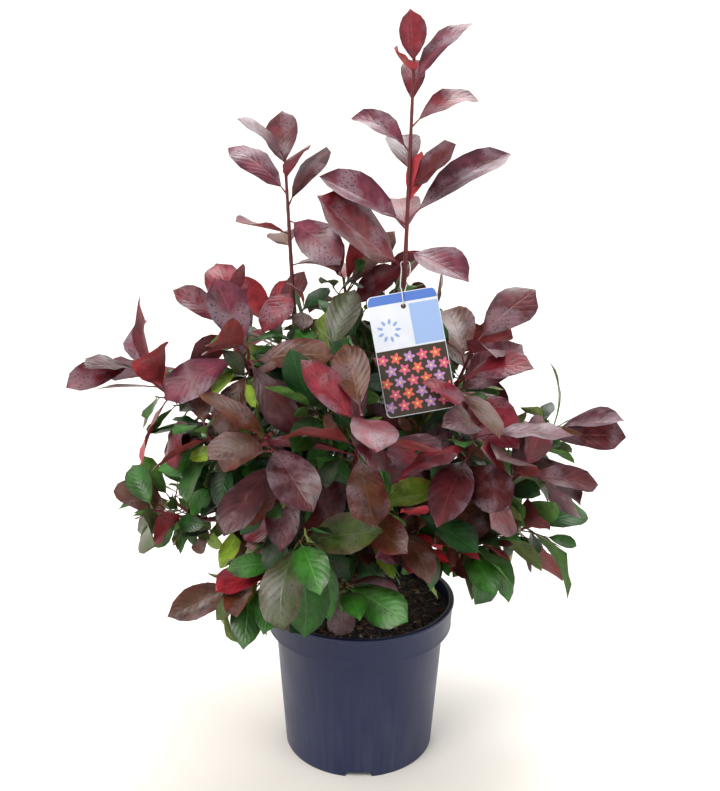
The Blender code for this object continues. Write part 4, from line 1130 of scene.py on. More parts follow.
# Young stalks are crimson where the leaves are red and yellow-green where they are green.
red_stalk = finish_of("young red stem skin", "#6a1a26", 0.42)[0]
green_stalk = finish_of("young green stem skin", "#55602a", 0.45)[0]
leaf_finishes = {}
for tint, (blade, margin, vein, under, marks_and_sheen) in LEAF_COLOURS.items():
    stalk = red_stalk if TINTS.index(tint) < RED_TINTS else green_stalk
    # The underside gets half as much of the rain marks and painted sheen.
    dull = leaf_surface(tint + " leaf underside", under, under, vein, UNDERSIDE_GLOSS, marks_and_sheen / 2)
    for shade_name, factor in (("", 1.0), (" shaded", SHADED)):
        colours = [shaded(colour, factor) for colour in (blade, margin, vein)]
        top = leaf_surface(tint + shade_name + " leaf cuticle", *colours, LEAF_GLOSS, marks_and_sheen)
        leaf_finishes[tint, shade_name] = (top, dull, stalk)
print(len(leaf_finishes), "leaf finishes")

# %% Leaves by tint
LEAF_SLOTS = ("wine_foliage",) * 4 + ("bronze_foliage",) + ("olive_foliage",) + ("green_foliage",) * 3

look = np.random.default_rng(11)
for number, tint in enumerate(TINTS):
    for k, shade_name in enumerate(("", " shaded")):
        tail = tint + ("_shaded" if k else "")
        big = [leaf for i, leaf in enumerate(leaves) if tints[i] == number and i % 2 == k]
        small = [leaf for i, leaf in enumerate(small_leaves) if small_tints[i] == number and i % 2 == k]
        finish, slot = leaf_finishes[tint, shade_name], LEAF_SLOTS[number]
        if big:
            leaf_piece("leaves_" + tail, big, LEAF_RINGS, look, finish, slot)
        if small:
            leaf_piece("small_leaves_" + tail, small, SMALL_RINGS, look, finish, slot)

# %% [markdown]
# ## Twigs
# A young shoot is smooth, round and crimson. It swells a little where each leaf
# leaves it. The twigs stand for the plain masses of foliage, now that the leaves
# are drawn. Their skin is mottled, as bark chips and peat are too, so one
# function makes all such finishes: noise blends two colours and raises the grain.

# %% Young stems
STEM_NODES, NODE_SWELL = 9, 0.12
TWIG_MOTTLES = 90.0  # to the metre: each about 11 mm long


def young_stem(line, ends, rings=28, around=8):
    """A tapering stem whose radius swells by an eighth at each node along it."""
    fine = smooth_line(line, rings)
    t = np.linspace(0, 1, rings)
    swell = 1 + NODE_SWELL * np.clip(np.cos(math.tau * t * STEM_NODES), 0, 1) ** 6
    return tube(fine, np.linspace(*ends, rings) * swell, around)


def mottled(name, colour, roughness, light, dark, scale, detail, strength, relief):
    """A finish between two colours, by noise that goes scale times to the metre and is raised by relief."""
    material, tree, shader = finish_of(name, colour, roughness)
    spot = add(tree, "ShaderNodeTexCoord").outputs["Object"]
    grain = add(tree, "ShaderNodeTexNoise", {"Vector": spot, "Scale": scale, "Detail": detail}).outputs["Fac"]
    mixed = add(tree, "ShaderNodeMix", {0: grain, 6: linear(light), 7: linear(dark)}, data_type="RGBA")
    tree.links.new(mixed.outputs[2], shader.inputs["Base Color"])
    bump = add(tree, "ShaderNodeBump", {"Strength": strength, "Distance": relief, "Height": grain})
    tree.links.new(bump.outputs["Normal"], shader.inputs["Normal"])
    return material


# Young skin: thin and waxy, crimson or green with brown mottles, and a soft gloss.
skin_red = mottled("crimson shoot skin", "#5e1e28", 0.40, "#70222e", "#3c181c",
                   TWIG_MOTTLES, 3.0, 0.3, 0.0004)
skin_green = mottled("green shoot skin", "#4c4a28", 0.45, "#5a5a2c", "#46301f",
                     TWIG_MOTTLES, 3.0, 0.3, 0.0004)
for name, hues, material, slot in (("red_twigs", ("red", "mixed"), skin_red, "wine_foliage"),
                                   ("green_twigs", ("low", "green"), skin_green, "green_foliage")):
    rings = [young_stem(line, TWIG_RADII if k else SHOOT_RADII)
             for shoot in SHOOTS if shoot.hue in hues for k, line in enumerate(lines[shoot.name])]
    spurs = [young_stem(spur, SPUR_RADII, 8, 6) for spur, hue in zip(spur_lines, spur_hues) if hue in hues]
    masses = ["foliage_" + shoot.name for shoot in SHOOTS if shoot.hue in hues]
    skins = [tubes(np.stack(rings))] + ([tubes(np.stack(spurs))] if spurs else [])
    piece(name, joined(skins), [material], slot, replaced=masses)

# %% [markdown]
# ## Bark
# The stem and boughs carry thin grey-brown bark over red-brown wood, with small
# pale pores and shallow cracks that run along them. The relief is in the mesh: a
# ripple round each limb, a swelling at its foot and at old leaf scars. The stem
# flares into four low roots where it enters the mix.

# %% Stem and boughs
STEM_RINGS, STEM_SIDES, BOUGH_RINGS = 60, 28, 44
ROOT_DEPTH, ROOT_RADIUS, ROOT_FLARE = 0.004, 0.0136, 0.25
# How many go to the metre: grain of 2.4 mm, blotches of 14 mm, and pores 4 mm apart.
BARK_GRAIN, BARK_BLOTCHES, BARK_PORES = 420.0, 70.0, 260.0


def bark_tube(line, radii, around=14, flare=0.0):
    """A limb whose radius is multiplied by 1 + ripple + scars + foot.

    The ripple is a few sines along and around it, the scars are narrow humps along it, and the foot
    swells by exp(-t / width), with four lobes where it flares.
    """
    t = np.linspace(0, 1, len(line))[:, None]
    turn = np.linspace(0, math.tau, around, endpoint=False)[None]
    ripple = 0.035 * np.sin(3 * turn + 9 * t) + 0.03 * np.sin(5 * turn - 23 * t) + 0.02 * np.sin(41 * t)
    scars = 0.10 * np.clip(np.cos(math.tau * t * 6.5 + 1.0), 0, 1) ** 16
    foot = 0.22 * np.exp(-t / 0.05) + flare * np.exp(-t / 0.13) * (1 + 0.55 * np.cos(4 * turn + 0.7))
    return tube(line, radii, around, 1 + ripple + scars + foot)


def bark_finish():
    """Young bark: dull red-brown, greyer in blotches, with pores 1 mm wide and cracks along the limb."""
    material, tree, shader = finish_of("young photinia bark", "#5a4038", 0.78)
    spot = add(tree, "ShaderNodeTexCoord").outputs["Object"]
    stretched = add(tree, "ShaderNodeMapping", {"Vector": spot, "Scale": (1.0, 1.0, 0.25)}).outputs[0]
    grain = add(tree, "ShaderNodeTexNoise",
                {"Vector": stretched, "Scale": BARK_GRAIN, "Detail": 5.0}).outputs["Fac"]
    blotch = add(tree, "ShaderNodeTexNoise",
                 {"Vector": spot, "Scale": BARK_BLOTCHES, "Detail": 3.0}).outputs["Fac"]
    tone = add(tree, "ShaderNodeMapRange", {"Value": blotch, "From Min": 0.35, "From Max": 0.65}).outputs[0]
    body = add(tree, "ShaderNodeMix", {0: tone, 6: linear("#4a2f2a"), 7: linear("#7b6658")}, data_type="RGBA")
    dark = add(tree, "ShaderNodeMapRange",
               {"Value": grain, "From Min": 0.3, "From Max": 0.7, "To Min": 0.55, "To Max": 1.2}).outputs[0]
    body = add(tree, "ShaderNodeMix", {0: 1.0, 6: body.outputs[2], 7: dark}, data_type="RGBA",
               blend_type="MULTIPLY").outputs[2]
    cell = add(tree, "ShaderNodeTexVoronoi", {"Vector": spot, "Scale": BARK_PORES}).outputs["Distance"]
    pore = add(tree, "ShaderNodeMapRange",
               {"Value": cell, "From Min": 0.12, "From Max": 0.2, "To Min": 0.8, "To Max": 0.0}).outputs[0]
    body = add(tree, "ShaderNodeMix", {0: pore, 6: body, 7: linear("#a08c7a")}, data_type="RGBA").outputs[2]
    tree.links.new(body, shader.inputs["Base Color"])
    height = add(tree, "ShaderNodeMath", {0: pore, 1: 0.6, 2: grain}, operation="MULTIPLY_ADD").outputs[0]
    bump = add(tree, "ShaderNodeBump", {"Strength": 0.7, "Distance": 0.0006, "Height": height})
    tree.links.new(bump.outputs["Normal"], shader.inputs["Normal"])
    return material


bark = bark_finish()
stem = limbs["main_stem"]
stem_line = smooth_line(np.vstack([stem.line[0] - UP * ROOT_DEPTH, stem.line]), STEM_RINGS)
stem_radii = np.r_[ROOT_RADIUS, stem.radii]
steps = np.arange(len(stem_radii))
stem_radii = np.interp(np.linspace(0, steps[-1], STEM_RINGS), steps, stem_radii)
stem_rings = bark_tube(stem_line, stem_radii, STEM_SIDES, ROOT_FLARE)
piece("stem_bark", tubes(stem_rings[None]), [bark], "stem_bark", replaced=["main_stem"])
boughs = {name: limb for name, limb in limbs.items() if name != "main_stem"}
bough_rings = [bark_tube(smooth_line(limb.line, BOUGH_RINGS), np.linspace(*limb.radii[[0, -1]], BOUGH_RINGS))
               for limb in boughs.values()]
piece("bough_bark", tubes(np.stack(bough_rings)), [bark], "stem_bark", replaced=list(boughs))

# %% [markdown]
# ## The pot
# A nursery pot is thin polypropylene, moulded in one: a tapered wall under a
# broad collar that stiffens the rim and is used to lift it, with notches at its
# foot for water to leave by. Its profile is turned about Z, and every corner of
# it is rounded a little, because a mould never leaves a knife edge.

# %% Turned pot with notches
POT_HEIGHT, RIM_RADIUS, COLLAR_HEIGHT = 0.207, 0.124, 0.036
WALL_TOP_RADIUS, BASE_RADIUS, WALL, BASE_THICKNESS = 0.1107, 0.0987, 0.002, 0.009
COLLAR_INNER_RADIUS, COLLAR_DRAFT = 0.1175, 0.0040
LIP_HEIGHT = 0.006
NOTCHES, NOTCH_WIDTH, NOTCH_HEIGHT, NOTCH_DEPTH = 4, 0.034, 0.007, 0.010
EDGE_ROUNDING, POT_SIDES = 0.0013, 192
POT_AXIS = 0.0005  # m: the profile starts and ends this close to the axis
COLLAR_FOOT = POT_HEIGHT - COLLAR_HEIGHT


def inner_radius(height):
    """The pot wall's inner radius below the collar."""
    slope = (WALL_TOP_RADIUS - BASE_RADIUS) / COLLAR_FOOT
    return BASE_RADIUS + slope * height - WALL


def rounded_profile(points, radius, steps=4):
    """A profile whose corners are rounded: near each, a curve from radius before it to radius after it."""
    points = np.array(points, float)
    before, here, after = points[:-2], points[1:-1], points[2:]
    back, ahead = before - here, after - here
    reach = [np.minimum(radius, 0.45 * np.linalg.norm(v, axis=1))[:, None] for v in (back, ahead)]
    start = here + back / np.linalg.norm(back, axis=1)[:, None] * reach[0]
    end = here + ahead / np.linalg.norm(ahead, axis=1)[:, None] * reach[1]
    t = np.linspace(0, 1, steps)[None, :, None]
    arcs = start[:, None] * (1 - t) ** 2 + 2 * here[:, None] * t * (1 - t) + end[:, None] * t ** 2
    return np.vstack([points[:1], arcs.reshape(-1, 2), points[-1:]])


# From the floor up the inside, over the rim and down the outside to the foot.
outline = [
    (POT_AXIS, BASE_THICKNESS),
    (inner_radius(BASE_THICKNESS), BASE_THICKNESS),
    (inner_radius(COLLAR_FOOT), COLLAR_FOOT + 0.002),
    (COLLAR_INNER_RADIUS, COLLAR_FOOT + 0.008),
    (COLLAR_INNER_RADIUS, POT_HEIGHT),
    (RIM_RADIUS, POT_HEIGHT),
    (RIM_RADIUS, POT_HEIGHT - LIP_HEIGHT + 0.0014),
    (RIM_RADIUS - 0.0014, POT_HEIGHT - LIP_HEIGHT),
    (RIM_RADIUS - COLLAR_DRAFT + 0.0006, COLLAR_FOOT + 0.0052),
    (RIM_RADIUS - COLLAR_DRAFT + 0.0010, COLLAR_FOOT),
    (WALL_TOP_RADIUS, COLLAR_FOOT),
    (BASE_RADIUS + 0.0008, 0.014),
    (BASE_RADIUS + 0.0005, NOTCH_HEIGHT + 0.0003),
    (BASE_RADIUS + 0.0004, NOTCH_HEIGHT - 0.0003),
    (BASE_RADIUS, 0.0),
    (BASE_RADIUS - NOTCH_DEPTH + 0.0002, 0.0),
    (BASE_RADIUS - NOTCH_DEPTH, 0.0),
    (POT_AXIS, 0.0),
]
profile = rounded_profile(outline, EDGE_ROUNDING)
# The notches' edges get turns of their own, a milliradian to each side, so that they stand upright.
half_notch = math.asin(NOTCH_WIDTH / 2 / BASE_RADIUS)
quarter = math.tau / NOTCHES
edges = [k * quarter + side * (half_notch + step)
         for k in range(NOTCHES) for side in (-1, 1) for step in (-0.001, 0.001)]
turns = np.unique(np.r_[np.linspace(0, math.tau, POT_SIDES, endpoint=False), np.mod(edges, math.tau)])
pot_rings = turned_rings(profile[:, 0], profile[:, 1], turns)
in_notch = np.abs(np.mod(turns + quarter / 2, quarter) - quarter / 2) < half_notch
lifted = in_notch[None] & (profile[:, :1] > BASE_RADIUS - NOTCH_DEPTH + 0.0001)
pot_rings[..., 2] = np.where(lifted, np.maximum(pot_rings[..., 2], NOTCH_HEIGHT), pot_rings[..., 2])
print("the profile has", len(profile), "points;", int(in_notch.sum()), "of the turns lie in notches")

# %% The pot's plastic
POT_BLUE, DUST, DIRT = "#101b42", "#868e9c", "#15120f"
# How many go to the metre: clouds of 70 mm, streaks 6 mm wide, flecks 10 mm apart, and a satin of 1 mm.
POT_CLOUDS, POT_STREAKS, POT_FLECKS, POT_SATIN = 14.0, 160.0, 95.0, 900.0


def pot_finish():
    """Moulded polypropylene, dark slate blue: satin, scuffed, dusty toward its foot, with splashed dirt."""
    material, tree, shader = finish_of("moulded polypropylene", POT_BLUE, 0.42, IOR=1.49,
                                       Specular_IOR_Level=0.4)
    spot = add(tree, "ShaderNodeTexCoord").outputs["Object"]
    cloud = add(tree, "ShaderNodeTexNoise",
                {"Vector": spot, "Scale": POT_CLOUDS, "Detail": 5.0}).outputs["Fac"]
    drawn = add(tree, "ShaderNodeMapping", {"Vector": spot, "Scale": (1.0, 1.0, 0.06)}).outputs[0]
    streak = add(tree, "ShaderNodeTexNoise",
                 {"Vector": drawn, "Scale": POT_STREAKS, "Detail": 4.0}).outputs["Fac"]
    height = add(tree, "ShaderNodeSeparateXYZ", {0: spot}).outputs["Z"]
    low = add(tree, "ShaderNodeMapRange",
              {"Value": height, "From Min": 0.0, "From Max": 0.17, "To Min": 0.10, "To Max": 0.02}).outputs[0]
    dust = add(tree, "ShaderNodeMath", {0: cloud, 1: streak}, operation="MULTIPLY").outputs[0]
    dust = add(tree, "ShaderNodeMapRange",
               {"Value": dust, "From Min": 0.14, "From Max": 0.42, "To Min": 0.0, "To Max": 1.0}).outputs[0]
    dust = add(tree, "ShaderNodeMath", {0: dust, 1: low}, operation="MULTIPLY").outputs[0]
    body = add(tree, "ShaderNodeMix", {0: dust, 6: linear(POT_BLUE), 7: linear(DUST)}, data_type="RGBA")
    cell = add(tree, "ShaderNodeTexVoronoi", {"Vector": spot, "Scale": POT_FLECKS}).outputs
    fleck = add(tree, "ShaderNodeMapRange",
                {"Value": cell["Distance"], "From Min": 0.05, "From Max": 0.09, "To Min": 1.0, "To Max": 0.0})
    rare = add(tree, "ShaderNodeMapRange",
               {"Value": cloud, "From Min": 0.52, "From Max": 0.60, "To Min": 0.0, "To Max": 0.8})
    fleck = add(tree, "ShaderNodeMath", {0: fleck.outputs[0], 1: rare.outputs[0]}, operation="MULTIPLY")
    body = add(tree, "ShaderNodeMix", {0: fleck.outputs[0], 6: body.outputs[2], 7: linear(DIRT)},
               data_type="RGBA")
    tree.links.new(body.outputs[2], shader.inputs["Base Color"])
    rough = add(tree, "ShaderNodeMapRange",
                {"Value": cloud, "From Min": 0.3, "From Max": 0.7, "To Min": 0.34, "To Max": 0.52}).outputs[0]
    tree.links.new(rough, shader.inputs["Roughness"])
    fine = add(tree, "ShaderNodeTexNoise", {"Vector": spot, "Scale": POT_SATIN, "Detail": 2.0}).outputs["Fac"]
    bump = add(tree, "ShaderNodeBump", {"Strength": 0.12, "Distance": 0.0003, "Height": fine})
    tree.links.new(bump.outputs["Normal"], shader.inputs["Normal"])
    return material


piece("pot_shell", tubes(pot_rings[None]), [pot_finish()], "pot_plastic", replaced=["nursery_pot"], sharp=35)

# %% [markdown]
# ## The potting mix
# Composted bark and peat: near black when moist, with chips of reddish bark and
# pale fibres on top. The bed is a turned surface whose top is roughened by a few
# crossed waves, and each chip is a short faceted tube, squashed and thrown at a
# random angle.

# %% The bed
BED_GAP = 0.0006  # m between the mix and the pot
BED_RADIUS, BED_FLOOR = COLLAR_INNER_RADIUS - BED_GAP, 0.0093
BED_RINGS, BED_SIDES = 40, 120
EDGE_DROP, WAVE_HEIGHT = 0.003, 0.0012
PEAT_CRUMBS = 330.0  # to the metre: each about 3 mm across


def bed_height(x, y):
    """The bed's top: nearly flat, a little lower at its edge, with crossed waves 2 mm high."""
    radius = np.hypot(x, y)
    waves = np.sin(190 * x + 3 * np.sin(90 * y)) * np.sin(170 * y + 2 * np.sin(110 * x + 1))
    return SOIL_TOP - EDGE_DROP * smoothstep(radius, 0.03, 0.115) + WAVE_HEIGHT * waves


turn = np.linspace(0, math.tau, BED_SIDES, endpoint=False)
spread = np.linspace(POLE, BED_RADIUS, BED_RINGS)
bed = turned_rings(spread, 0 * spread, turn)
bed[..., 2] = bed_height(bed[..., 0], bed[..., 1])
# Beneath, it follows the pot's wall down from the collar to the floor.
wall_radii = [inner_radius(height) - BED_GAP for height in (COLLAR_FOOT, BED_FLOOR)]
under = turned_rings((BED_RADIUS, *wall_radii, POLE),
                     (COLLAR_FOOT + 0.0083, COLLAR_FOOT + 0.0023, BED_FLOOR, BED_FLOOR), turn)
# Moist peat: matt and nearly black, with crumbs that catch a little light.
peat = mottled("moist peat", "#262329", 0.88, "#1c1a20", "#4a434b", PEAT_CRUMBS, 6.0, 1.0, 0.0016)
piece("mix_bed", tubes(np.concatenate([bed, under])[None]), [peat], "potting_mix", replaced=["potting_mix"])

# %% Chips of bark
CHIPS = 1700
CHIP_TILT, CHIP_EDGE, CHIP_LIFT = 0.5, 0.006, (-0.0006, 0.0022)
CHIP_GRAIN = 700.0  # to the metre: each about 1.5 mm long
throw = np.random.default_rng(5)


def rotations(angles, a, b):
    """Rotation matrices from axis a to axis b: the cosines on their diagonal, the sines across it."""
    found = np.zeros((len(angles), 3, 3)) + np.eye(3)
    found[:, a, a] = found[:, b, b] = np.cos(angles)
    found[:, a, b], found[:, b, a] = -np.sin(angles), np.sin(angles)
    return found


def turns_at_random(count, tilt):
    """Rotation matrices: a turn about Z, then a tilt whose spread is the given angle, then a turn about Z."""
    heading = throw.uniform(0, math.tau, count)
    lean = throw.normal(0, tilt, count)
    around = throw.uniform(0, 6, count)
    return rotations(heading, 0, 1) @ rotations(lean, 2, 0) @ rotations(around, 0, 1)


def strewn(count, sizes, tilt, height, edge):
    """Chips: three rings of five corners, each jittered, squashed to size, turned and set on the bed.

    They lie a square root of chance from the middle, so that they are as dense everywhere.
    """
    turn = np.linspace(0, math.tau, 5, endpoint=False)[None, None]
    radius = np.array((0.55, 1.0, 0.5))[None, :, None] * throw.uniform(0.65, 1.15, (count, 3, 5))
    x, y = radius * np.cos(turn), radius * np.sin(turn)
    z = np.array((-0.5, 0.0, 0.5))[None, :, None] + throw.uniform(-0.18, 0.18, (count, 3, 5))
    local = np.stack([x, y, z], -1) * sizes[:, None, None]
    local = np.einsum("nij,nrpj->nrpi", turns_at_random(count, tilt), local)
    reach = np.sqrt(throw.uniform(0.022, 1, count)) * (BED_RADIUS - edge)
    way = throw.uniform(0, math.tau, count)
    middle = np.stack([reach * np.cos(way), reach * np.sin(way), 0 * way], -1)
    middle[:, 2] = bed_height(middle[:, 0], middle[:, 1]) + throw.uniform(*height, count)
    return local + middle[:, None, None]


# Composted bark chips: split wood and bark, dull, from almost black to rust.
for name, share, colour in (("black_chips", 0.36, "#2a272d"), ("umber_chips", 0.28, "#463a3c"),
                            ("rust_chips", 0.20, "#5c3423"), ("tan_chips", 0.11, "#7d5d41"),
                            ("grey_chips", 0.05, "#9a938b")):
    count = int(CHIPS * share)
    long = throw.uniform(0.0012, 0.0042, count) * throw.choice((1.0, 1.7), count, p=(0.85, 0.15))
    wide, thick = long * throw.uniform(0.35, 0.8, count), long * throw.uniform(0.35, 0.7, count)
    chips = strewn(count, np.stack([long, wide, thick], -1), CHIP_TILT, CHIP_LIFT, CHIP_EDGE)
    finish = mottled("bark chip " + name, colour, 0.85, shaded(colour, 0.6), shaded(colour, 1.35),
                     CHIP_GRAIN, 4.0, 0.6, 0.0004)
    piece(name, tubes(chips), [finish], "potting_mix", sharp=25)

# %% Root fibres
FIBRES, FIBRE_RADIUS, FIBRE_WAVE = 170, 0.00022, 0.0008
FIBRE_EDGE, FIBRE_LIFT = 0.012, (0.0008, 0.0026)

# Dead root fibre: pale and straw-like, with hardly any gloss.
straw = finish_of("pale root fibre", "#a8906c", 0.7)[0]
# Each fibre gets its place from a tiny chip strewn there, and bows by the square of the way along it.
middle = strewn(FIBRES, np.full((FIBRES, 3), 0.0001), 0.1, FIBRE_LIFT, FIBRE_EDGE).mean((1, 2))
way, length = throw.uniform(0, math.tau, FIBRES), throw.uniform(0.004, 0.012, FIBRES)
step = np.linspace(-1, 1, 7)[None, :]
bow = throw.uniform(-0.35, 0.35, FIBRES)[:, None] * length[:, None] * step ** 2
flat = np.stack([np.cos(way), np.sin(way), 0 * way], -1)[:, None] * (length[:, None] * step)[..., None]
cross = np.stack([-np.sin(way), np.cos(way), 0 * way], -1)[:, None] * bow[..., None]
fibre_lines = middle[:, None] + flat + cross
fibre_lines[..., 2] += FIBRE_WAVE * np.sin(3 * step + way[:, None])
fibre_rings = np.stack([tube(line, FIBRE_RADIUS, 4) for line in fibre_lines])
piece("root_fibres", tubes(fibre_rings), [straw], "potting_mix")

# %% [markdown]
# ## The hanging card
# The label is a printed plastic card, a millimetre thick, with rounded corners
# and a punched hole, and bowed a little. It is worked out flat, as rings that
# run from the hole's edge out to the rim and back behind, and then bent and
# turned to its place.

# %% Card
LABEL_WIDTH, LABEL_HEIGHT, LABEL_THICKNESS, LABEL_CORNER = 0.081, 0.140, 0.0010, 0.006
LABEL_HOLE_RADIUS, LABEL_HOLE_DROP = 0.0030, 0.0165
LABEL_MIDDLE = (0.0563, -0.0890, 0.5525)
LABEL_LEAN, LABEL_TILT = math.radians(-19.0), math.radians(-10.5)
CARD_BOW = 0.0011
CARD_ROWS = (0, 0.06, 0.2, 0.4, 0.6, 0.8, 0.97)  # shares of the way from the hole to the rim
CARD_SMEARS = 45.0  # to the metre: each about 22 mm across
card_turn = np.array(Matrix.Rotation(LABEL_LEAN, 3, "X") @ Matrix.Rotation(LABEL_TILT, 3, "Y"))


def on_card(x, y, z):
    """Card coordinates, x across, y backward and z up, in the world; the middle is bowed forward."""
    bowed = y - CARD_BOW * (1 - (2 * x / LABEL_WIDTH) ** 2)
    return np.stack(np.broadcast_arrays(x, bowed, z), -1) @ card_turn.T + np.array(LABEL_MIDDLE)


def rounded_outline(width, height, corner, steps=9, edge=10):
    """Points round a rectangle with quarter-circle corners and straight edges between them."""
    quarter = np.linspace(0, math.pi / 2, steps)
    found = []
    for k in range(4):
        a, b = (width / 2 - corner) * (1, -1, -1, 1)[k], (height / 2 - corner) * (1, 1, -1, -1)[k]
        turn = quarter + k * math.pi / 2
        found.append(np.stack([a + corner * np.cos(turn), b + corner * np.sin(turn)], -1))
    corners = found + found[:1]
    t = np.linspace(0, 1, edge + 2)[1:-1, None]
    sides = [corners[k][-1] * (1 - t) + corners[k + 1][0] * t for k in range(4)]
    return np.vstack([part for pair in zip(found, sides) for part in pair])


rim = rounded_outline(LABEL_WIDTH, LABEL_HEIGHT, LABEL_CORNER)
hole_height = LABEL_HEIGHT / 2 - LABEL_HOLE_DROP
hole_middle = np.array((0.0, hole_height))
away = rim - hole_middle
hole = hole_middle + away / np.linalg.norm(away, axis=1)[:, None] * LABEL_HOLE_RADIUS
half = LABEL_THICKNESS / 2
front = [(share, -half) for share in CARD_ROWS] + [(1.0, -half * 0.5)]
back = [(share, -y) for share, y in front[::-1]]
flat = np.stack([hole + (rim - hole) * share for share, _ in front + back])
depth = np.array([y for _, y in front + back])[:, None]
card_rings = on_card(flat[..., 0], depth, flat[..., 1])

# Printed polypropylene: smooth and a little glossy, its white ink clouded by handling.
card, tree, shader = finish_of("printed polypropylene card", "#c9d0dc", 0.32)
spot = add(tree, "ShaderNodeTexCoord").outputs["Object"]
smear = add(tree, "ShaderNodeTexNoise", {"Vector": spot, "Scale": CARD_SMEARS, "Detail": 3.0}).outputs["Fac"]
mixed = add(tree, "ShaderNodeMix", {0: smear, 6: linear("#c2cad8"), 7: linear("#d8dce4")}, data_type="RGBA")
tree.links.new(mixed.outputs[2], shader.inputs["Base Color"])
piece("card", tubes(card_rings[None], looped=True), [card], "label_card", replaced=["plant_label"], sharp=30)

# %% [markdown]
# ## Print on the card
# The face carries a plain pattern: a blue band at the top, a pale field with a
# ring of dots beside a pale blue field, and rows of small rosettes on a dark
# ground. The inks are modelled as very thin inlays, so that their edges are crisp.

# %% Helpers for print
INK, INK_ROOT = 0.00006, 0.0001  # m proud of the card, far thicker than real ink, and sunk into it


def slab(x, low, high, lift=INK):
    """A thin inlay between two heights at each x: four corners to a ring, carried across the card."""
    y = np.array((-half - lift, -half - lift, -half + INK_ROOT, -half + INK_ROOT))[None]
    z = np.stack([low, high, high, low], -1)
    return tubes(on_card(x[:, None], y, z)[None])


def ovals(middle, long, wide, turns, lift):
    """Thin turned ovals: long * cos t along and wide * sin t across, narrowed toward the far end."""
    t = np.linspace(0, math.tau, 12, endpoint=False)[None]
    a, b = long * np.cos(t), wide * np.sin(t) * (1 - 0.25 * np.cos(t))
    cos, sin = np.cos(turns)[:, None], np.sin(turns)[:, None]
    x, z = middle[:, :1] + a * cos - b * sin, middle[:, 1:] + a * sin + b * cos
    y = np.array((-half - lift, -half + INK_ROOT))[None, :, None]
    return tubes(on_card(x[:, None], y, z[:, None]))


def ink(name, colour):
    """Offset ink under a clear film: even colour with a smooth gloss."""
    return finish_of("printed ink " + name, colour, 0.30)[0]


print("ink stands", INK * 1000, "mm proud")

# %% Fields and dots
MARGIN, FIELD_STEPS, SOFT_STEPS = 0.0008, 41, 18
BAND_FOOT, FIELD_TOP, FIELD_FOOT, FIELD_LEFT, GROUND_TOP = 0.0585, 0.0555, 0.008, 0.006, 0.006
DOTS, RING_PLACE, RING_RADIUS, DOT_SIZE = 9, (-0.021, 0.0285), 0.0105, (0.0034, 0.0017)

edge = LABEL_WIDTH / 2 - MARGIN
x = np.linspace(-edge, edge, FIELD_STEPS)
past = np.clip(np.abs(x) - edge + LABEL_CORNER, 0, None)
inset = LABEL_CORNER - np.sqrt(np.clip(LABEL_CORNER ** 2 - past ** 2, 0, None))
top, foot = LABEL_HEIGHT / 2 - MARGIN, -LABEL_HEIGHT / 2 + MARGIN
band = slab(x, np.full(FIELD_STEPS, BAND_FOOT), top - inset)
piece("print_band", band, [ink("blue", "#4c70bc")], "label_card")
ground = slab(x, foot + inset, np.full(FIELD_STEPS, GROUND_TOP))
piece("print_ground", ground, [ink("dark ground", "#33291f")], "label_card")
soft = np.linspace(FIELD_LEFT, edge, SOFT_STEPS)
field = slab(soft, np.full(SOFT_STEPS, FIELD_FOOT), np.full(SOFT_STEPS, FIELD_TOP))
piece("print_field", field, [ink("pale blue", "#8fa9d6")], "label_card")
dots = np.arange(DOTS) * math.tau / DOTS
ring = np.stack([RING_PLACE[0] + RING_RADIUS * np.cos(dots), RING_PLACE[1] + RING_RADIUS * np.sin(dots)], -1)
piece("print_ring", ovals(ring, *DOT_SIZE, dots, INK), [ink("soft blue", "#7f9ccd")], "label_card")

# %% Rosettes
ROWS, ROW_TOP, ROW_STEP, COLUMN_STEP, ROW_SHIFT, WIDEST = 5, -0.0045, 0.0135, 0.0152, 0.0038, 0.036
PETALS, PETAL_REACH, PETAL_SIZE, CENTRE_RADIUS = 5, 0.0036, (0.0034, 0.0019), 0.0013

column, row = np.meshgrid(np.arange(ROWS), np.arange(ROWS))
column, row = column.ravel(), row.ravel()
seat = np.stack([(column - 2) * COLUMN_STEP + ROW_SHIFT * ((row % 2) * 2 - 1), ROW_TOP - ROW_STEP * row], -1)
seat = seat[np.abs(seat[:, 0]) < WIDEST]
petals = np.arange(PETALS) * math.tau / PETALS
for k, (name, colour) in enumerate((("pink", "#c8587c"), ("coral", "#cf5f55"), ("lilac", "#a87fb4"))):
    mine = seat[k::3]
    turns = (petals[None] + 0.4 * np.arange(len(mine))[:, None]).ravel()
    middle = np.repeat(mine, PETALS, axis=0) + PETAL_REACH * np.stack([np.cos(turns), np.sin(turns)], -1)
    piece("print_" + name, ovals(middle, *PETAL_SIZE, turns, 2 * INK), [ink(name, colour)], "label_card")
centres = ovals(seat, CENTRE_RADIUS, CENTRE_RADIUS, np.zeros(len(seat)), 3 * INK)
piece("print_centres", centres, [ink("yellow", "#dcc24a")], "label_card")

# %% [markdown]
# ## The tie
# A thin clear elastic loop goes round the tall stem and through the card's hole.
# Its line is a smooth closed curve through ten points, the same as in the plain
# solid, and the tube is drawn round it with more sides.

# %% Elastic loop
TIE_RADIUS, TIE_HEIGHT, TIE_STEPS, TIE_SIDES = 0.0006, 0.645, 180, 10


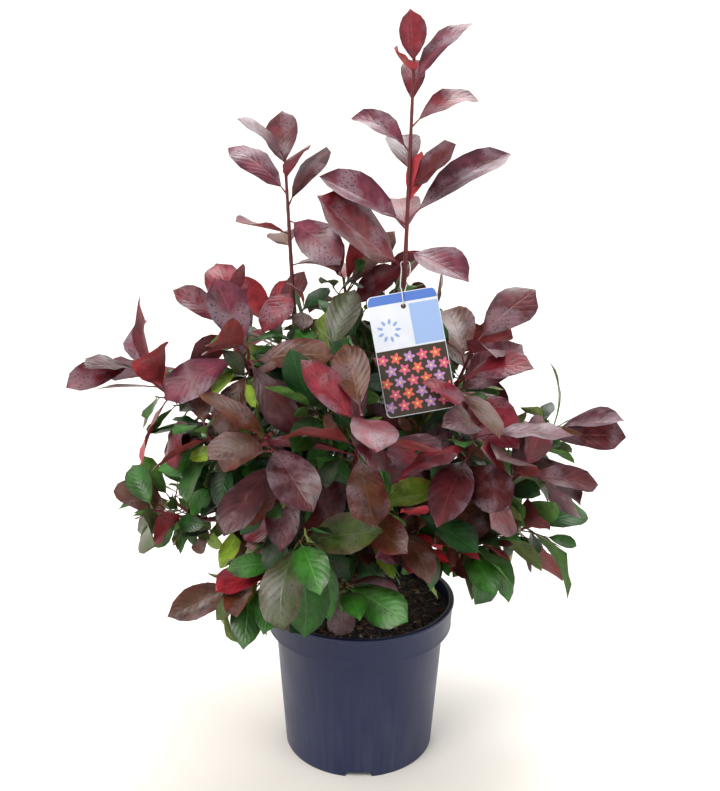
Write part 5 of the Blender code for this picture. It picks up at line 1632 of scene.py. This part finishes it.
def closed_curve_through(control, count):
    """A smooth closed line through the given points: the same cubic between each two."""
    total = len(control)
    x = total * np.arange(count) / count
    i = x.astype(int)
    return cubic_between(*(control[(i + j) % total] for j in (-1, 0, 1, 2)), (x - i)[:, None])


def card_point(x, y, z):
    """A point of the flat card, in the world."""
    return np.array((x, y, z)) @ card_turn.T + np.array(LABEL_MIDDLE)


leader = lines["right_leader"][0]
hole_top = hole_height + LABEL_HOLE_RADIUS - TIE_RADIUS - GAP
middle, _ = along_line(leader, (TIE_HEIGHT - leader[0][2]) / (leader[-1][2] - leader[0][2]))
back = SHOOT_RADII[0] + TIE_RADIUS
# Up before the card from its hole, round the back of the stem and down behind the card.
control = np.array([
    card_point(0.0, -0.004, hole_top + 0.0010),
    card_point(0.001, -0.005, LABEL_HEIGHT / 2 + 0.001),
    card_point(0.001, 0.004, LABEL_HEIGHT / 2 + 0.008),
    middle + (-0.0052, -0.016, -0.007),
    middle + (-0.0050, 0.0, 0.0),
    middle + (0.0, back, 0.001),
    middle + (0.0050, 0.0, 0.0),
    middle + (0.0048, -0.018, -0.012),
    card_point(0.001, 0.012, hole_top + 0.008),
    card_point(0.0, 0.0015, hole_top),
])
loop = closed_curve_through(control, TIE_STEPS)
along = np.roll(loop, -1, 0) - np.roll(loop, 1, 0)
along /= np.linalg.norm(along, axis=1)[:, None]
side = np.cross(along, (1.0, 0.2, 0.1))
side /= np.linalg.norm(side, axis=1)[:, None]
other = np.cross(along, side)
turn = np.linspace(0, math.tau, TIE_SIDES, endpoint=False)[None, :, None]
tie_rings = loop[:, None] + TIE_RADIUS * (side[:, None] * np.cos(turn) + other[:, None] * np.sin(turn))
# Clear elastic: it looks silvery because its core scatters light under a smooth skin.
elastic = finish_of("clear elastic", "#c9cdcc", 0.28)[0]
piece("elastic_loop", tubes(tie_rings[None], looped=True), [elastic], "tie_elastic", replaced=["label_tie"])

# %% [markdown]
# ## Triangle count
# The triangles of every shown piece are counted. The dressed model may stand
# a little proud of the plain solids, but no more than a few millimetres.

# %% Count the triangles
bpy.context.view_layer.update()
total = sum(len(body.data.polygons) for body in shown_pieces())
print(total, "triangles in all")
